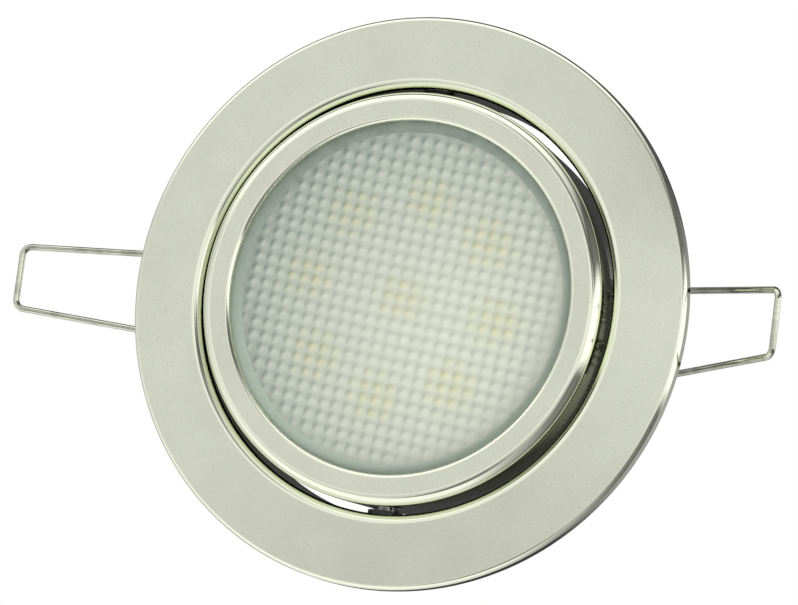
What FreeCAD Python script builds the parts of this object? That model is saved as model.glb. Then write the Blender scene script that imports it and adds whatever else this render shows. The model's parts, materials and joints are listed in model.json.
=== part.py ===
import FreeCAD, Part

# Recessed soffit downlight with a tilting lamp ring and two sprung wire clips.
# Millimetres. +Z points up into the soffit and the light leaves towards -Z.
# The origin is the centre of the plane in which the flange meets the soffit.

import math
import os
from FreeCAD import Vector

Y_AXIS = Vector(0, 1, 0)
Z_AXIS = Vector(0, 0, 1)

# ---------------------------------------------------------------- clearances
RUN_CLEARANCE = 0.05        # radial, pin in its bush
LOOSE_CLEARANCE = 0.3       # round pieces that must never rub
PLATE_CLEARANCE = 0.2       # discs dropped into a round seat
OVERCUT = 1.0               # how far a drill runs past both faces

# ---------------------------------------------------------------- trim ring
FLANGE_RADIUS = 53.0
RIM_DEPTH = 2.8             # turned edge, soffit plane to front face
RIM_ROUND = 0.9
FACE_RISE = 0.9             # inner edge of the face stands this far proud
FACE_WIDTH = 12.0           # flat part of the front face
LIP_ROUND = 1.7             # rolled edge between face and neck
TRIM_WALL = 1.2
TRIM_INNER_ROUND = 0.4      # corners at the back of the flange and neck
NECK_TOP = 9.0
CUTOUT_MARGIN = 5.5         # round the neck, for the folded clips
GASKET_INNER_GAP = 0.4      # gasket stays outside the cut-out
GASKET_OUTER_GAP = 0.5

# ---------------------------------------------------------------- gimbal ring
GIMBAL_PROUD = 3.1          # its face, in front of the trim's inner edge
GIMBAL_GAP = 1.2            # round the gimbal, in the neck
GIMBAL_WALL = 1.9
GIMBAL_TAPER = 0.6          # the side wall narrows by this towards the back
GIMBAL_ROUND = 1.8
GIMBAL_LIP_WIDTH = 3.6      # lip in front of the lens
GIMBAL_LIP_ROUND = 0.7
GIMBAL_LIP_THICKNESS = 1.6
PIVOT_HEIGHT = 2.0          # tilt axis above the soffit plane

# ---------------------------------------------------------------- lamp stack
LENS_GASKET_THICKNESS = 0.5
LENS_GASKET_WIDTH = 2.2
LENS_THICKNESS = 2.5
LENS_EDGE_GAP = 0.6
LENS_BORDER = 2.8           # plain ring round the prisms
LENS_CROWN = 0.8            # rise of the middle towards the front
REFLECTOR_DEPTH = 10.4
REFLECTOR_WALL = 1.4
REFLECTOR_ROUND = 0.5
REFLECTOR_EDGE_GAP = 0.5
REFLECTOR_MOUTH_INSET = 1.4 # inside the gimbal's lip
BOARD_INSET = 8.7           # inside the gimbal's bore, for the reflector's foot
BOARD_MARGIN = 1.3          # beyond the light sources' leads
BOARD_THICKNESS = 1.6
BOARD_EDGE_GAP = 0.4
PAD_THICKNESS = 0.5
PAD_INSET = 0.5
LED_COUNT = 8               # on a circle near the board's edge, with one more in the middle
LED_FIRST_ANGLE = 9.0
LED_BODY_RADIUS = 4.0
LED_BODY_HEIGHT = 1.9
LED_LEAD_REACH = 7.2
LED_LEAD_WIDTH = 1.4
LED_LEAD_THICKNESS = 0.4
LED_DOME_RADIUS = 2.8
LED_DOME_HEIGHT = 2.2
BOARD_SCREW_COUNT = 4
BOARD_SCREW_OFFSET = 4.2    # outside the circle of light sources
BOARD_SCREW_RADIUS = 1.25
BOARD_SCREW_HEAD_RADIUS = 2.4
BOARD_SCREW_HEAD_HEIGHT = 1.5
BOARD_SCREW_BITE = 2.2      # length in the heatsink
BOARD_SCREW_SLOT = (2.8, 0.6, 0.8)  # length, width and depth of one arm of the cross
WIRE_HOLE_RADIUS = 1.3
WIRE_HOLE_GAP = 0.4         # beside the middle light source

# ---------------------------------------------------------------- heatsink
HEATSINK_BASE_THICKNESS = 2.8
HEATSINK_FIN_COUNT = 24
HEATSINK_FIN_INSET = 9.2    # inside the gimbal's bore, clear of the circlip's lugs
HEATSINK_FIN_THICKNESS = 1.4
HEATSINK_FIN_HEIGHT = 17.0
HEATSINK_FIN_ROUND = 5.0
HEATSINK_BOSS_WALL = 3.0
HEATSINK_HUB_FLOOR = 2.0    # metal left under the cable chamber
CIRCLIP_THICKNESS = 1.0
CIRCLIP_WIDTH = 2.0
CIRCLIP_GROOVE_DEPTH = 0.5
CIRCLIP_GAP_ANGLE = 16.0
CIRCLIP_LUG_RADIUS = 2.4
CIRCLIP_LUG_HOLE = 0.9
CIRCLIP_LEDGE = 0.2         # gimbal wall beyond the groove

# ---------------------------------------------------------------- cable gland
GLAND_THREAD_RADIUS = 6.0
GLAND_THREAD_LENGTH = 6.0
GLAND_HEX_STEP = 1.5        # flats outside the thread
GLAND_HEX_HEIGHT = 3.0
GLAND_COLLAR_WALL = 0.95
GLAND_COLLAR_HEIGHT = 4.0
GLAND_NUT_WALL = 1.3        # from the collar to its flats
GLAND_NUT_CORNER = 0.5      # its corners, outside the flats
GLAND_NUT_HEIGHT = 8.0
GLAND_NUT_ROUND = 2.2
CABLE_BORE_RADIUS = 3.25
CABLE_SEAL_WALL = 1.0

# ---------------------------------------------------------------- gimbal hinge
PIVOT_PIN_RADIUS = 1.5
PIVOT_HEAD_RADIUS = 2.6
PIVOT_HEAD_HEIGHT = 0.9
PIVOT_PIN_INSIDE = 1.9      # length inside the gimbal wall
BUSH_WALL = 1.0
WASHER_RADIUS = 3.2
WASHER_THICKNESS = 0.8
PIVOT_CLIP_RADIUS = 2.6
PIVOT_CLIP_THICKNESS = 0.6

# ---------------------------------------------------------------- spring clips
WIRE_RADIUS = 0.6
CLIP_PIN_RADIUS = 1.5
CLIP_AXIS_OFFSET = 0.9      # outside the neck
CLIP_AXIS_HEIGHT = 20.0
CLIP_ARM_LENGTH = 41.8      # coil axis to the tip bar
CLIP_COIL_HALF_WIDTH = 8.4
CLIP_TIP_HALF_WIDTH = 5.9
CLIP_BEND_RADIUS = 1.7
CLIP_TURNS = 3
CLIP_TURN_GAP = 0.65
CLIP_TAIL_LENGTH = 3.6
CLIP_LEAN = {"left": 15.8, "right": 41.2}   # degrees below level at rest
BRACKET_THICKNESS = 1.0
BRACKET_FOOT = 0.8          # its lower edge above the soffit plane
BRACKET_PLATE_TOP = 12.5
BRACKET_FOOT_WIDTH = 3.2
BRACKET_FOOT_STEP = 0.6
BRACKET_EAR_REACH = 2.6     # ear beyond the pin's centre
BRACKET_EAR_ROUND = 2.3
CLIP_PIN_HEAD_RADIUS = 2.2
CLIP_PIN_HEAD_HEIGHT = 0.8
RIVET_RADIUS = 1.0
RIVET_HEAD_RADIUS = 1.8
RIVET_HEAD_HEIGHT = 0.8
RIVET_HEIGHT = 5.2
RIVET_ANGLE = 7.5           # either side of the bracket's middle
RIVET_SETBACK = 0.1         # flush end, kept behind the neck's bore
HEAD_ROUND = 0.35           # edge of every rivet and pin head
CLIP_EAR_GAP = 0.4          # coil to ear
TAIL_QUARTERS = 1           # quarter turns added so that the tail points up

# ---------------------------------------------------------------- worked out
PIVOT_SIDES = (90, -90)     # directions of the tilt pins
FACE_INNER_RADIUS = FLANGE_RADIUS - FACE_WIDTH
MID_FACE_Z = -RIM_DEPTH - FACE_RISE
NECK_BORE = FACE_INNER_RADIUS - LIP_ROUND
NECK_OUTER = NECK_BORE + TRIM_WALL
CUTOUT_RADIUS = NECK_OUTER + CUTOUT_MARGIN
GIMBAL_FACE_Z = MID_FACE_Z - GIMBAL_PROUD
GIMBAL_RADIUS = NECK_BORE - GIMBAL_GAP
GIMBAL_BACK_RADIUS = GIMBAL_RADIUS - GIMBAL_TAPER
GIMBAL_BORE_RADIUS = GIMBAL_RADIUS - GIMBAL_WALL
GIMBAL_LIP_RADIUS = GIMBAL_BORE_RADIUS - GIMBAL_LIP_WIDTH
LENS_GASKET_Z = GIMBAL_FACE_Z + GIMBAL_LIP_THICKNESS
LENS_FRONT_Z = LENS_GASKET_Z + LENS_GASKET_THICKNESS
LENS_BACK_Z = LENS_FRONT_Z + LENS_THICKNESS
LENS_RADIUS = GIMBAL_BORE_RADIUS - LENS_EDGE_GAP
REFLECTOR_MOUTH_RADIUS = GIMBAL_LIP_RADIUS - REFLECTOR_MOUTH_INSET
BOARD_RADIUS = GIMBAL_BORE_RADIUS - BOARD_INSET
LED_CIRCLE_RADIUS = BOARD_RADIUS - BOARD_MARGIN - LED_LEAD_REACH
BOARD_SCREW_CIRCLE = LED_CIRCLE_RADIUS + BOARD_SCREW_OFFSET
WIRE_HOLE_CIRCLE = LED_BODY_RADIUS + WIRE_HOLE_GAP + WIRE_HOLE_RADIUS
HEATSINK_Z = LENS_BACK_Z + REFLECTOR_DEPTH
PAD_Z = HEATSINK_Z - PAD_THICKNESS
BOARD_Z = PAD_Z - BOARD_THICKNESS
BASE_TOP_Z = HEATSINK_Z + HEATSINK_BASE_THICKNESS
FIN_TOP_Z = BASE_TOP_Z + HEATSINK_FIN_HEIGHT
HEATSINK_FIN_RADIUS = GIMBAL_BORE_RADIUS - HEATSINK_FIN_INSET
HEATSINK_BOSS_RADIUS = GLAND_THREAD_RADIUS + HEATSINK_BOSS_WALL
GLAND_HEX_FLATS = 2 * (GLAND_THREAD_RADIUS + GLAND_HEX_STEP)
GLAND_COLLAR_RADIUS = CABLE_BORE_RADIUS + CABLE_SEAL_WALL + GLAND_COLLAR_WALL
GLAND_NUT_FLATS = 2 * (GLAND_COLLAR_RADIUS + GLAND_NUT_WALL)
GLAND_NUT_RADIUS = GLAND_NUT_FLATS / 2 + GLAND_NUT_CORNER
CLIP_AXIS_RADIUS = NECK_OUTER + CLIP_AXIS_OFFSET
GIMBAL_BACK_Z = BASE_TOP_Z + CIRCLIP_THICKNESS + CIRCLIP_LEDGE
COIL_RADIUS = CLIP_PIN_RADIUS + LOOSE_CLEARANCE + WIRE_RADIUS
COIL_PITCH = 2 * WIRE_RADIUS + CLIP_TURN_GAP
EAR_INNER = CLIP_COIL_HALF_WIDTH + WIRE_RADIUS + CLIP_EAR_GAP
EAR_OUTER = EAR_INNER + BRACKET_THICKNESS


# ---------------------------------------------------------------- shape tools
def rounded_wire(corners, place):
    """Closed outline through (a, b, round) corners, set in space by place(a, b)."""
    count = len(corners)
    joints = []
    for index in range(count):
        here = Vector(corners[index][0], corners[index][1], 0)
        before = Vector(corners[index - 1][0], corners[index - 1][1], 0)
        after = Vector(corners[(index + 1) % count][0], corners[(index + 1) % count][1], 0)
        to_before = (before - here).normalize()
        to_after = (after - here).normalize()
        radius = corners[index][2]
        if radius == 0:
            joints.append((here, None, here))
            continue
        half_angle = to_before.getAngle(to_after) / 2
        reach = radius / math.tan(half_angle)
        middle = (to_before + to_after).normalize()
        centre = here + middle * (radius / math.sin(half_angle))
        joints.append((here + to_before * reach, centre - middle * radius, here + to_after * reach))
    edges = []
    for index in range(count):
        start, bulge, end = joints[index]
        if bulge is not None:
            arc = Part.Arc(place(start.x, start.y), place(bulge.x, bulge.y), place(end.x, end.y))
            edges.append(arc.toShape())
        following = joints[(index + 1) % count][0]
        if (following - end).Length > 1e-7:
            line = Part.LineSegment(place(end.x, end.y), place(following.x, following.y))
            edges.append(line.toShape())
    return Part.Wire(edges)


def turned(corners):
    """Solid turned about Z from (radius, height, round) corners."""
    wire = rounded_wire(corners, lambda radius, height: Vector(radius, 0, height))
    return Part.Face(wire).revolve(Vector(0, 0, 0), Z_AXIS, 360)


def disc(radius, bottom, top, centre=(0, 0)):
    return Part.makeCylinder(radius, top - bottom, Vector(centre[0], centre[1], bottom), Z_AXIS)


def ring(inner, outer, bottom, top):
    return disc(outer, bottom, top).cut(disc(inner, bottom - OVERCUT, top + OVERCUT))


def rod(radius, start, end):
    """Round bar from one point to another."""
    axis = end - start
    return Part.makeCylinder(radius, axis.Length, start, axis)


def radial_rod(radius, inner, outer, degrees, height):
    """Round bar along a radius of the lamp."""
    return rod(radius, at_angle(inner, degrees, height), at_angle(outer, degrees, height))


def button_head(radius, thickness, edge_round, start, way):
    """Disc head with a rounded outer edge, from start along way."""
    head = turned([(0, 0, 0), (radius, 0, 0), (radius, thickness, edge_round), (0, thickness, 0)])
    head.Placement = FreeCAD.Placement(start, FreeCAD.Rotation(Z_AXIS, way))
    return head


def hexagon(flats, bottom, top):
    """Hexagonal bar about Z, given across its flats."""
    corner = flats / math.sqrt(3)
    points = [at_angle(corner, 60 * side, bottom) for side in range(7)]
    return Part.Face(Part.makePolygon(points)).extrude(Vector(0, 0, top - bottom))


def at_angle(radius, degrees, height=0.0):
    turn = math.radians(degrees)
    return Vector(radius * math.cos(turn), radius * math.sin(turn), height)


def turned_copy(shape, degrees, axis=Z_AXIS, centre=Vector(0, 0, 0)):
    copy = shape.copy()
    copy.rotate(centre, axis, degrees)
    return copy


def joined(shapes):
    """One solid from touching shapes, without leftover seams."""
    whole = shapes[0].fuse(shapes[1:])
    return whole.removeSplitter()


def export(name, shape, solids=1):
    """Write one sub-part, after a test that it is sound and has all its solids."""
    if not shape.isValid():
        raise ValueError(name + " is not a valid shape")
    if len(shape.Solids) != solids:
        raise ValueError("%s has %d solids, not %d" % (name, len(shape.Solids), solids))
    if solids == 1:
        shape = shape.Solids[0]
    shape.exportStep("parts/" + name + ".step")
    print("%-20s %2d solid(s) %10.1f mm3" % (name, solids, shape.Volume))


# ---------------------------------------------------------------- trim
def face_height(radius):
    """Height of the flange's front face, which rises towards the middle."""
    share = (FLANGE_RADIUS - radius) / (FLANGE_RADIUS - FACE_INNER_RADIUS)
    return -RIM_DEPTH - FACE_RISE * share


def trim_ring():
    inside = FLANGE_RADIUS - TRIM_WALL
    body = turned([
        (FLANGE_RADIUS, 0, 0),
        (FLANGE_RADIUS, -RIM_DEPTH, RIM_ROUND),
        (NECK_BORE, face_height(NECK_BORE), LIP_ROUND),
        (NECK_BORE, NECK_TOP, TRIM_INNER_ROUND),
        (NECK_OUTER, NECK_TOP, TRIM_INNER_ROUND),
        (NECK_OUTER, face_height(NECK_OUTER) + TRIM_WALL, TRIM_INNER_ROUND),
        (inside, face_height(inside) + TRIM_WALL, TRIM_INNER_ROUND),
        (inside, 0, 0),
    ])
    for side in PIVOT_SIDES:
        body = body.cut(radial_rod(PIVOT_PIN_RADIUS, NECK_BORE - OVERCUT, NECK_OUTER + OVERCUT,
                                   side, PIVOT_HEIGHT))
    for angle in rivet_angles():
        body = body.cut(radial_rod(RIVET_RADIUS, NECK_BORE - OVERCUT, NECK_OUTER + OVERCUT,
                                   angle, RIVET_HEIGHT))
    return body


def soffit_gasket():
    inner = CUTOUT_RADIUS + GASKET_INNER_GAP
    outer = FLANGE_RADIUS - TRIM_WALL - GASKET_OUTER_GAP
    return turned([
        (inner, 0, 0),
        (inner, face_height(inner) + TRIM_WALL, 0),
        (outer, face_height(outer) + TRIM_WALL, 0),
        (outer, 0, 0),
    ])


# ---------------------------------------------------------------- clip bracket
def rivet_angles():
    return [middle + offset for middle in (0, 180) for offset in (-RIVET_ANGLE, RIVET_ANGLE)]


def clip_bracket():
    """Bracket of the clip on +X: a curved plate on the neck with two ears."""
    plate_outer = NECK_OUTER + BRACKET_THICKNESS
    plate = ring(NECK_OUTER, plate_outer, BRACKET_FOOT, BRACKET_PLATE_TOP)
    window = Part.makeBox(plate_outer, 2 * EAR_OUTER, CLIP_AXIS_HEIGHT, Vector(0, -EAR_OUTER, 0))
    plate = plate.common(window)
    foot_front = plate_outer + BRACKET_FOOT_STEP
    head_front = CLIP_AXIS_RADIUS + BRACKET_EAR_REACH
    head_back = CLIP_AXIS_RADIUS - BRACKET_EAR_REACH
    head_top = CLIP_AXIS_HEIGHT + BRACKET_EAR_REACH
    outline = rounded_wire([
        (foot_front - BRACKET_FOOT_WIDTH, BRACKET_FOOT, 0),
        (foot_front, BRACKET_FOOT, BRACKET_FOOT_STEP),
        (head_front, CLIP_AXIS_HEIGHT - BRACKET_EAR_REACH, BRACKET_EAR_ROUND),
        (head_front, head_top, BRACKET_EAR_ROUND),
        (head_back, head_top, BRACKET_EAR_ROUND),
        (head_back, BRACKET_PLATE_TOP - BRACKET_EAR_REACH, 0),
    ], lambda a, b: Vector(a, 0, b))
    ear = Part.Face(outline).extrude(Vector(0, BRACKET_THICKNESS, 0))
    neck_space = disc(NECK_OUTER, 0, NECK_TOP)
    pieces = [plate]
    for base in (EAR_INNER, -EAR_OUTER):
        side = ear.copy()
        side.translate(Vector(0, base, 0))
        pieces.append(side.cut(neck_space))
    body = joined(pieces)
    body = body.cut(rod(CLIP_PIN_RADIUS, clip_pin_point(-EAR_OUTER - OVERCUT),
                        clip_pin_point(EAR_OUTER + OVERCUT)))
    for angle in (-RIVET_ANGLE, RIVET_ANGLE):
        body = body.cut(radial_rod(RIVET_RADIUS, NECK_BORE, plate_outer + OVERCUT, angle, RIVET_HEIGHT))
    return body


def bracket_rivets():
    plate_outer = NECK_OUTER + BRACKET_THICKNESS
    rivets = []
    for angle in rivet_angles():
        shank = radial_rod(RIVET_RADIUS, NECK_BORE + RIVET_SETBACK, plate_outer, angle, RIVET_HEIGHT)
        head = button_head(RIVET_HEAD_RADIUS, RIVET_HEAD_HEIGHT, HEAD_ROUND,
                           at_angle(plate_outer, angle, RIVET_HEIGHT), at_angle(1, angle))
        rivets.append(joined([shank, head]))
    return Part.makeCompound(rivets)


def clip_pin_point(across):
    """Point on the axis of the clip on +X."""
    return Vector(CLIP_AXIS_RADIUS, across, CLIP_AXIS_HEIGHT)


def clip_pin():
    """Pin of the clip on +X, with a round head outside each ear."""
    pieces = [rod(CLIP_PIN_RADIUS, clip_pin_point(-EAR_OUTER), clip_pin_point(EAR_OUTER))]
    for side in (-1, 1):
        pieces.append(button_head(CLIP_PIN_HEAD_RADIUS, CLIP_PIN_HEAD_HEIGHT, HEAD_ROUND,
                                  clip_pin_point(side * EAR_OUTER), Y_AXIS * side))
    return joined(pieces)


# ---------------------------------------------------------------- spring clip
def biarc(start, start_way, end, end_way):
    """Two arcs that leave start along start_way and reach end along end_way."""
    chord = end - start
    square = 2 * (start_way.dot(end_way) - 1)
    linear = -2 * chord.dot(start_way + end_way)
    constant = chord.dot(chord)
    root = math.sqrt(linear * linear - 4 * square * constant)
    reach = (-linear - root) / (2 * square) if abs(square) > 1e-9 else -constant / linear
    if reach < 0:
        reach = (-linear + root) / (2 * square)
    first_knee = start + start_way * reach
    second_knee = end - end_way * reach
    meet = (first_knee + second_knee) * 0.5
    return [(start, first_knee, meet), (meet, second_knee, end)]


def arc_edge(start, knee, end):
    """Arc between two points whose tangents meet at the knee."""
    middle = (start + end) * 0.5
    half_chord = (end - start).Length / 2
    reach = (knee - start).Length
    lean = math.acos(min(1.0, half_chord / reach))
    bulge = middle + (knee - middle).normalize() * (half_chord * math.tan(lean / 2))
    return Part.Arc(start, bulge, end).toShape()


def coil_point(turn, side):
    """Centre of the wire, turn by turn, from the arm (0) to the tail, and its way."""
    angle = 2 * math.pi * turn
    across = side * (CLIP_COIL_HALF_WIDTH - COIL_PITCH * turn)
    point = Vector(-COIL_RADIUS * math.sin(angle), across, -COIL_RADIUS * math.cos(angle))
    climb = -side * COIL_PITCH / (2 * math.pi)
    way = Vector(-COIL_RADIUS * math.cos(angle), climb, COIL_RADIUS * math.sin(angle))
    return point, way.normalize()


def clip_side(side):
    """Edges of one half, from its tail through the coil to the start of the arm."""
    arm_start = Vector(0, side * CLIP_COIL_HALF_WIDTH, -COIL_RADIUS)
    corner = Vector(CLIP_ARM_LENGTH, side * CLIP_TIP_HALF_WIDTH, -COIL_RADIUS)
    inward = (arm_start - corner).normalize()
    quarters = 4 * CLIP_TURNS + TAIL_QUARTERS
    end, end_way = coil_point(quarters / 4.0, side)
    tail = Part.LineSegment(end + end_way * CLIP_TAIL_LENGTH, end).toShape()
    edges = [tail]
    for quarter in range(quarters, 0, -1):
        near, near_way = coil_point(quarter / 4.0, side)
        far, far_way = coil_point((quarter - 1) / 4.0, side)
        if quarter == 1:
            far_way = inward
        for start, knee, finish in biarc(near, near_way * -1, far, far_way * -1):
            edges.append(arc_edge(start, knee, finish))
    return edges, arm_start, corner


def clip_path():
    """Centre line of one clip: axis of its coils on Y, arms level along +X."""
    left_edges, left_start, left_corner = clip_side(1)
    right_edges, right_start, right_corner = clip_side(-1)
    out_way = (left_corner - left_start).normalize()
    back_way = (right_start - right_corner).normalize()
    across = (right_corner - left_corner).normalize()
    bends = []
    for corner, way_in, way_out in ((left_corner, out_way, across), (right_corner, across, back_way)):
        half_turn = way_in.getAngle(way_out) / 2
        reach = CLIP_BEND_RADIUS * math.tan(half_turn)
        bends.append((corner - way_in * reach, corner, corner + way_out * reach))
    edges = left_edges
    edges.append(Part.LineSegment(left_start, bends[0][0]).toShape())
    edges.append(arc_edge(*bends[0]))
    edges.append(Part.LineSegment(bends[0][2], bends[1][0]).toShape())
    edges.append(arc_edge(*bends[1]))
    edges.append(Part.LineSegment(bends[1][2], right_start).toShape())
    edges.extend(reversed(right_edges))
    return edges


def least_gap(edges):
    """Least clear distance from the wire to itself, measured on points."""
    step = 0.25
    points = []
    travelled = 0.0
    for edge in edges:
        pieces = max(2, int(edge.Length / step))
        for point in edge.discretize(pieces + 1)[:-1]:
            points.append((point, travelled))
            travelled += edge.Length / pieces
    near_turn = math.pi * COIL_RADIUS
    least = 1e9
    for index, (point, place) in enumerate(points):
        for other, other_place in points[index + 1:]:
            if other_place - place > near_turn:
                least = min(least, point.distanceToPoint(other))
    return least - 2 * WIRE_RADIUS


def spring_clip(side):
    """One unbroken wire, set at its rest angle on the right (+X) side."""
    edges = clip_path()
    path = Part.Wire(edges)
    start = edges[0].Vertexes[0].Point
    way = edges[0].Vertexes[1].Point - start
    if start.distanceToPoint(edges[1].Vertexes[0].Point) < 1e-6:
        start, way = edges[0].Vertexes[1].Point, way * -1
    section = Part.Wire(Part.makeCircle(WIRE_RADIUS, start, way))
    body = path.makePipeShell([section], True, False)
    expected = math.pi * WIRE_RADIUS ** 2 * path.Length
    print("spring clip: wire %.1f mm long, %.4f of its volume, least gap to itself %.2f mm"
          % (path.Length, body.Volume / expected, least_gap(edges)))
    body.rotate(Vector(0, 0, 0), Y_AXIS, CLIP_LEAN[side])
    body.translate(Vector(CLIP_AXIS_RADIUS, 0, CLIP_AXIS_HEIGHT))
    return body


# ---------------------------------------------------------------- gimbal ring
def gimbal_ring():
    groove_top = BASE_TOP_Z + CIRCLIP_THICKNESS
    groove = GIMBAL_BORE_RADIUS + CIRCLIP_GROOVE_DEPTH
    body = turned([
        (GIMBAL_LIP_RADIUS, GIMBAL_FACE_Z, GIMBAL_LIP_ROUND),
        (GIMBAL_RADIUS, GIMBAL_FACE_Z, GIMBAL_ROUND),
        (GIMBAL_RADIUS, MID_FACE_Z, 0),
        (GIMBAL_BACK_RADIUS, GIMBAL_BACK_Z, 0),
        (GIMBAL_BORE_RADIUS, GIMBAL_BACK_Z, 0),
        (GIMBAL_BORE_RADIUS, groove_top, 0),
        (groove, groove_top, 0),
        (groove, BASE_TOP_Z, 0),
        (GIMBAL_BORE_RADIUS, BASE_TOP_Z, 0),
        (GIMBAL_BORE_RADIUS, LENS_GASKET_Z, 0),
        (GIMBAL_LIP_RADIUS, LENS_GASKET_Z, 0),
    ])
    for side in PIVOT_SIDES:
        body = body.cut(radial_rod(PIVOT_PIN_RADIUS + RUN_CLEARANCE + BUSH_WALL,
                                   GIMBAL_BORE_RADIUS - OVERCUT, GIMBAL_RADIUS + OVERCUT,
                                   side, PIVOT_HEIGHT))
    return body


def gimbal_outside(height):
    """Radius of the gimbal's side wall at a height behind its face."""
    share = (height - MID_FACE_Z) / (GIMBAL_BACK_Z - MID_FACE_Z)
    return GIMBAL_RADIUS + (GIMBAL_BACK_RADIUS - GIMBAL_RADIUS) * share


def pivot_bushes():
    bore = PIVOT_PIN_RADIUS + RUN_CLEARANCE
    outer = gimbal_outside(PIVOT_HEIGHT)
    bushes = []
    for side in PIVOT_SIDES:
        barrel = radial_rod(bore + BUSH_WALL, GIMBAL_BORE_RADIUS, outer, side, PIVOT_HEIGHT)
        bushes.append(barrel.cut(radial_rod(bore, GIMBAL_BORE_RADIUS, outer, side, PIVOT_HEIGHT)))
    return Part.makeCompound(bushes)


def pivot_pins():
    inner_end = GIMBAL_BORE_RADIUS - PIVOT_PIN_INSIDE
    pins = []
    for side in PIVOT_SIDES:
        shank = radial_rod(PIVOT_PIN_RADIUS, inner_end, NECK_OUTER, side, PIVOT_HEIGHT)
        head = button_head(PIVOT_HEAD_RADIUS, PIVOT_HEAD_HEIGHT, HEAD_ROUND,
                           at_angle(NECK_OUTER, side, PIVOT_HEIGHT), at_angle(1, side))
        pins.append(joined([shank, head]))
    return Part.makeCompound(pins)


def washer_pair(radius, inner_face, thickness):
    """Two washers on the pivot pins."""
    washers = []
    for side in PIVOT_SIDES:
        washer = radial_rod(radius, inner_face, inner_face + thickness, side, PIVOT_HEIGHT)
        washers.append(washer.cut(radial_rod(PIVOT_PIN_RADIUS, inner_face, inner_face + thickness,
                                             side, PIVOT_HEIGHT)))
    return Part.makeCompound(washers)


def flat_in_bore(bore, radius):
    """How far out a flat disc of this radius can lie in a round bore."""
    return math.sqrt(bore ** 2 - radius ** 2)


def pivot_washers():
    outer_face = flat_in_bore(NECK_BORE, WASHER_RADIUS)
    return washer_pair(WASHER_RADIUS, outer_face - WASHER_THICKNESS, WASHER_THICKNESS)


def pivot_clips():
    outer_face = flat_in_bore(GIMBAL_BORE_RADIUS, PIVOT_CLIP_RADIUS) - LOOSE_CLEARANCE
    return washer_pair(PIVOT_CLIP_RADIUS, outer_face - PIVOT_CLIP_THICKNESS, PIVOT_CLIP_THICKNESS)


# ---------------------------------------------------------------- lamp stack
def lens_gasket():
    outer = LENS_RADIUS - PLATE_CLEARANCE
    return ring(outer - LENS_GASKET_WIDTH, outer, LENS_GASKET_Z, LENS_FRONT_Z)


def lens():
    plate = disc(LENS_RADIUS, LENS_FRONT_Z, LENS_BACK_Z)
    crown_radius = GIMBAL_LIP_RADIUS - LENS_BORDER
    sphere_radius = (crown_radius ** 2 + LENS_CROWN ** 2) / (2 * LENS_CROWN)
    centre = Vector(0, 0, LENS_FRONT_Z - LENS_CROWN + sphere_radius)
    ball = Part.makeSphere(sphere_radius, centre)
    cap = ball.common(disc(crown_radius + OVERCUT, LENS_FRONT_Z - LENS_CROWN - OVERCUT, LENS_FRONT_Z))
    return joined([plate, cap])


def reflector_ring():
    outer = GIMBAL_BORE_RADIUS - REFLECTOR_EDGE_GAP
    seat = BOARD_RADIUS + BOARD_EDGE_GAP
    wall = REFLECTOR_WALL
    return turned([
        (REFLECTOR_MOUTH_RADIUS, LENS_BACK_Z, 0),
        (outer, LENS_BACK_Z, 0),
        (outer, LENS_BACK_Z + wall, 0),
        (REFLECTOR_MOUTH_RADIUS + wall, LENS_BACK_Z + wall, REFLECTOR_ROUND),
        (seat + wall, HEATSINK_Z - wall, REFLECTOR_ROUND),
        (outer, HEATSINK_Z - wall, 0),
        (outer, HEATSINK_Z, 0),
        (seat, HEATSINK_Z, 0),
        (seat, BOARD_Z, 0),
    ])


def board_screw_angles():
    first = LED_FIRST_ANGLE + 180.0 / LED_COUNT
    return [first + 360.0 / BOARD_SCREW_COUNT * index for index in range(BOARD_SCREW_COUNT)]


def wire_hole(bottom, top):
    """Hole for the supply wires, beside the middle light source."""
    place = at_angle(WIRE_HOLE_CIRCLE, LED_FIRST_ANGLE + 90)
    return disc(WIRE_HOLE_RADIUS, bottom, top, (place.x, place.y))


def drilled_for_board(shape, bottom, top):
    """Cut the board's screw holes and the wire hole."""
    for angle in board_screw_angles():
        place = at_angle(BOARD_SCREW_CIRCLE, angle)
        shape = shape.cut(disc(BOARD_SCREW_RADIUS, bottom, top, (place.x, place.y)))
    return shape.cut(wire_hole(bottom, top))


def led_board():
    return drilled_for_board(disc(BOARD_RADIUS, BOARD_Z, PAD_Z), BOARD_Z - OVERCUT, PAD_Z + OVERCUT)


def thermal_pad():
    plate = disc(BOARD_RADIUS - PAD_INSET, PAD_Z, HEATSINK_Z)
    return drilled_for_board(plate, PAD_Z - OVERCUT, HEATSINK_Z + OVERCUT)


def board_screws():
    """Cross-head screws, driven from the light side."""
    length, width, depth = BOARD_SCREW_SLOT
    slot_floor = BOARD_Z - BOARD_SCREW_HEAD_HEIGHT
    screws = []
    for angle in board_screw_angles():
        place = at_angle(BOARD_SCREW_CIRCLE, angle)
        centre = (place.x, place.y)
        shank = disc(BOARD_SCREW_RADIUS, BOARD_Z, HEATSINK_Z + BOARD_SCREW_BITE, centre)
        head = button_head(BOARD_SCREW_HEAD_RADIUS, BOARD_SCREW_HEAD_HEIGHT, HEAD_ROUND,
                           Vector(place.x, place.y, BOARD_Z), Z_AXIS * -1)
        screw = joined([shank, head])
        for across, along in ((length, width), (width, length)):
            corner = Vector(place.x - across / 2, place.y - along / 2, slot_floor - OVERCUT)
            screw = screw.cut(Part.makeBox(across, along, depth + OVERCUT, corner))
        screws.append(screw)
    return Part.makeCompound(screws)


def led_places():
    """Centre and lead direction of each light source, the middle one first."""
    places = [(Vector(0, 0, 0), LED_FIRST_ANGLE + 180.0 / LED_COUNT)]
    for index in range(LED_COUNT):
        angle = LED_FIRST_ANGLE + 360.0 / LED_COUNT * index
        places.append((at_angle(LED_CIRCLE_RADIUS, angle), angle))
    return places


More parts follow.
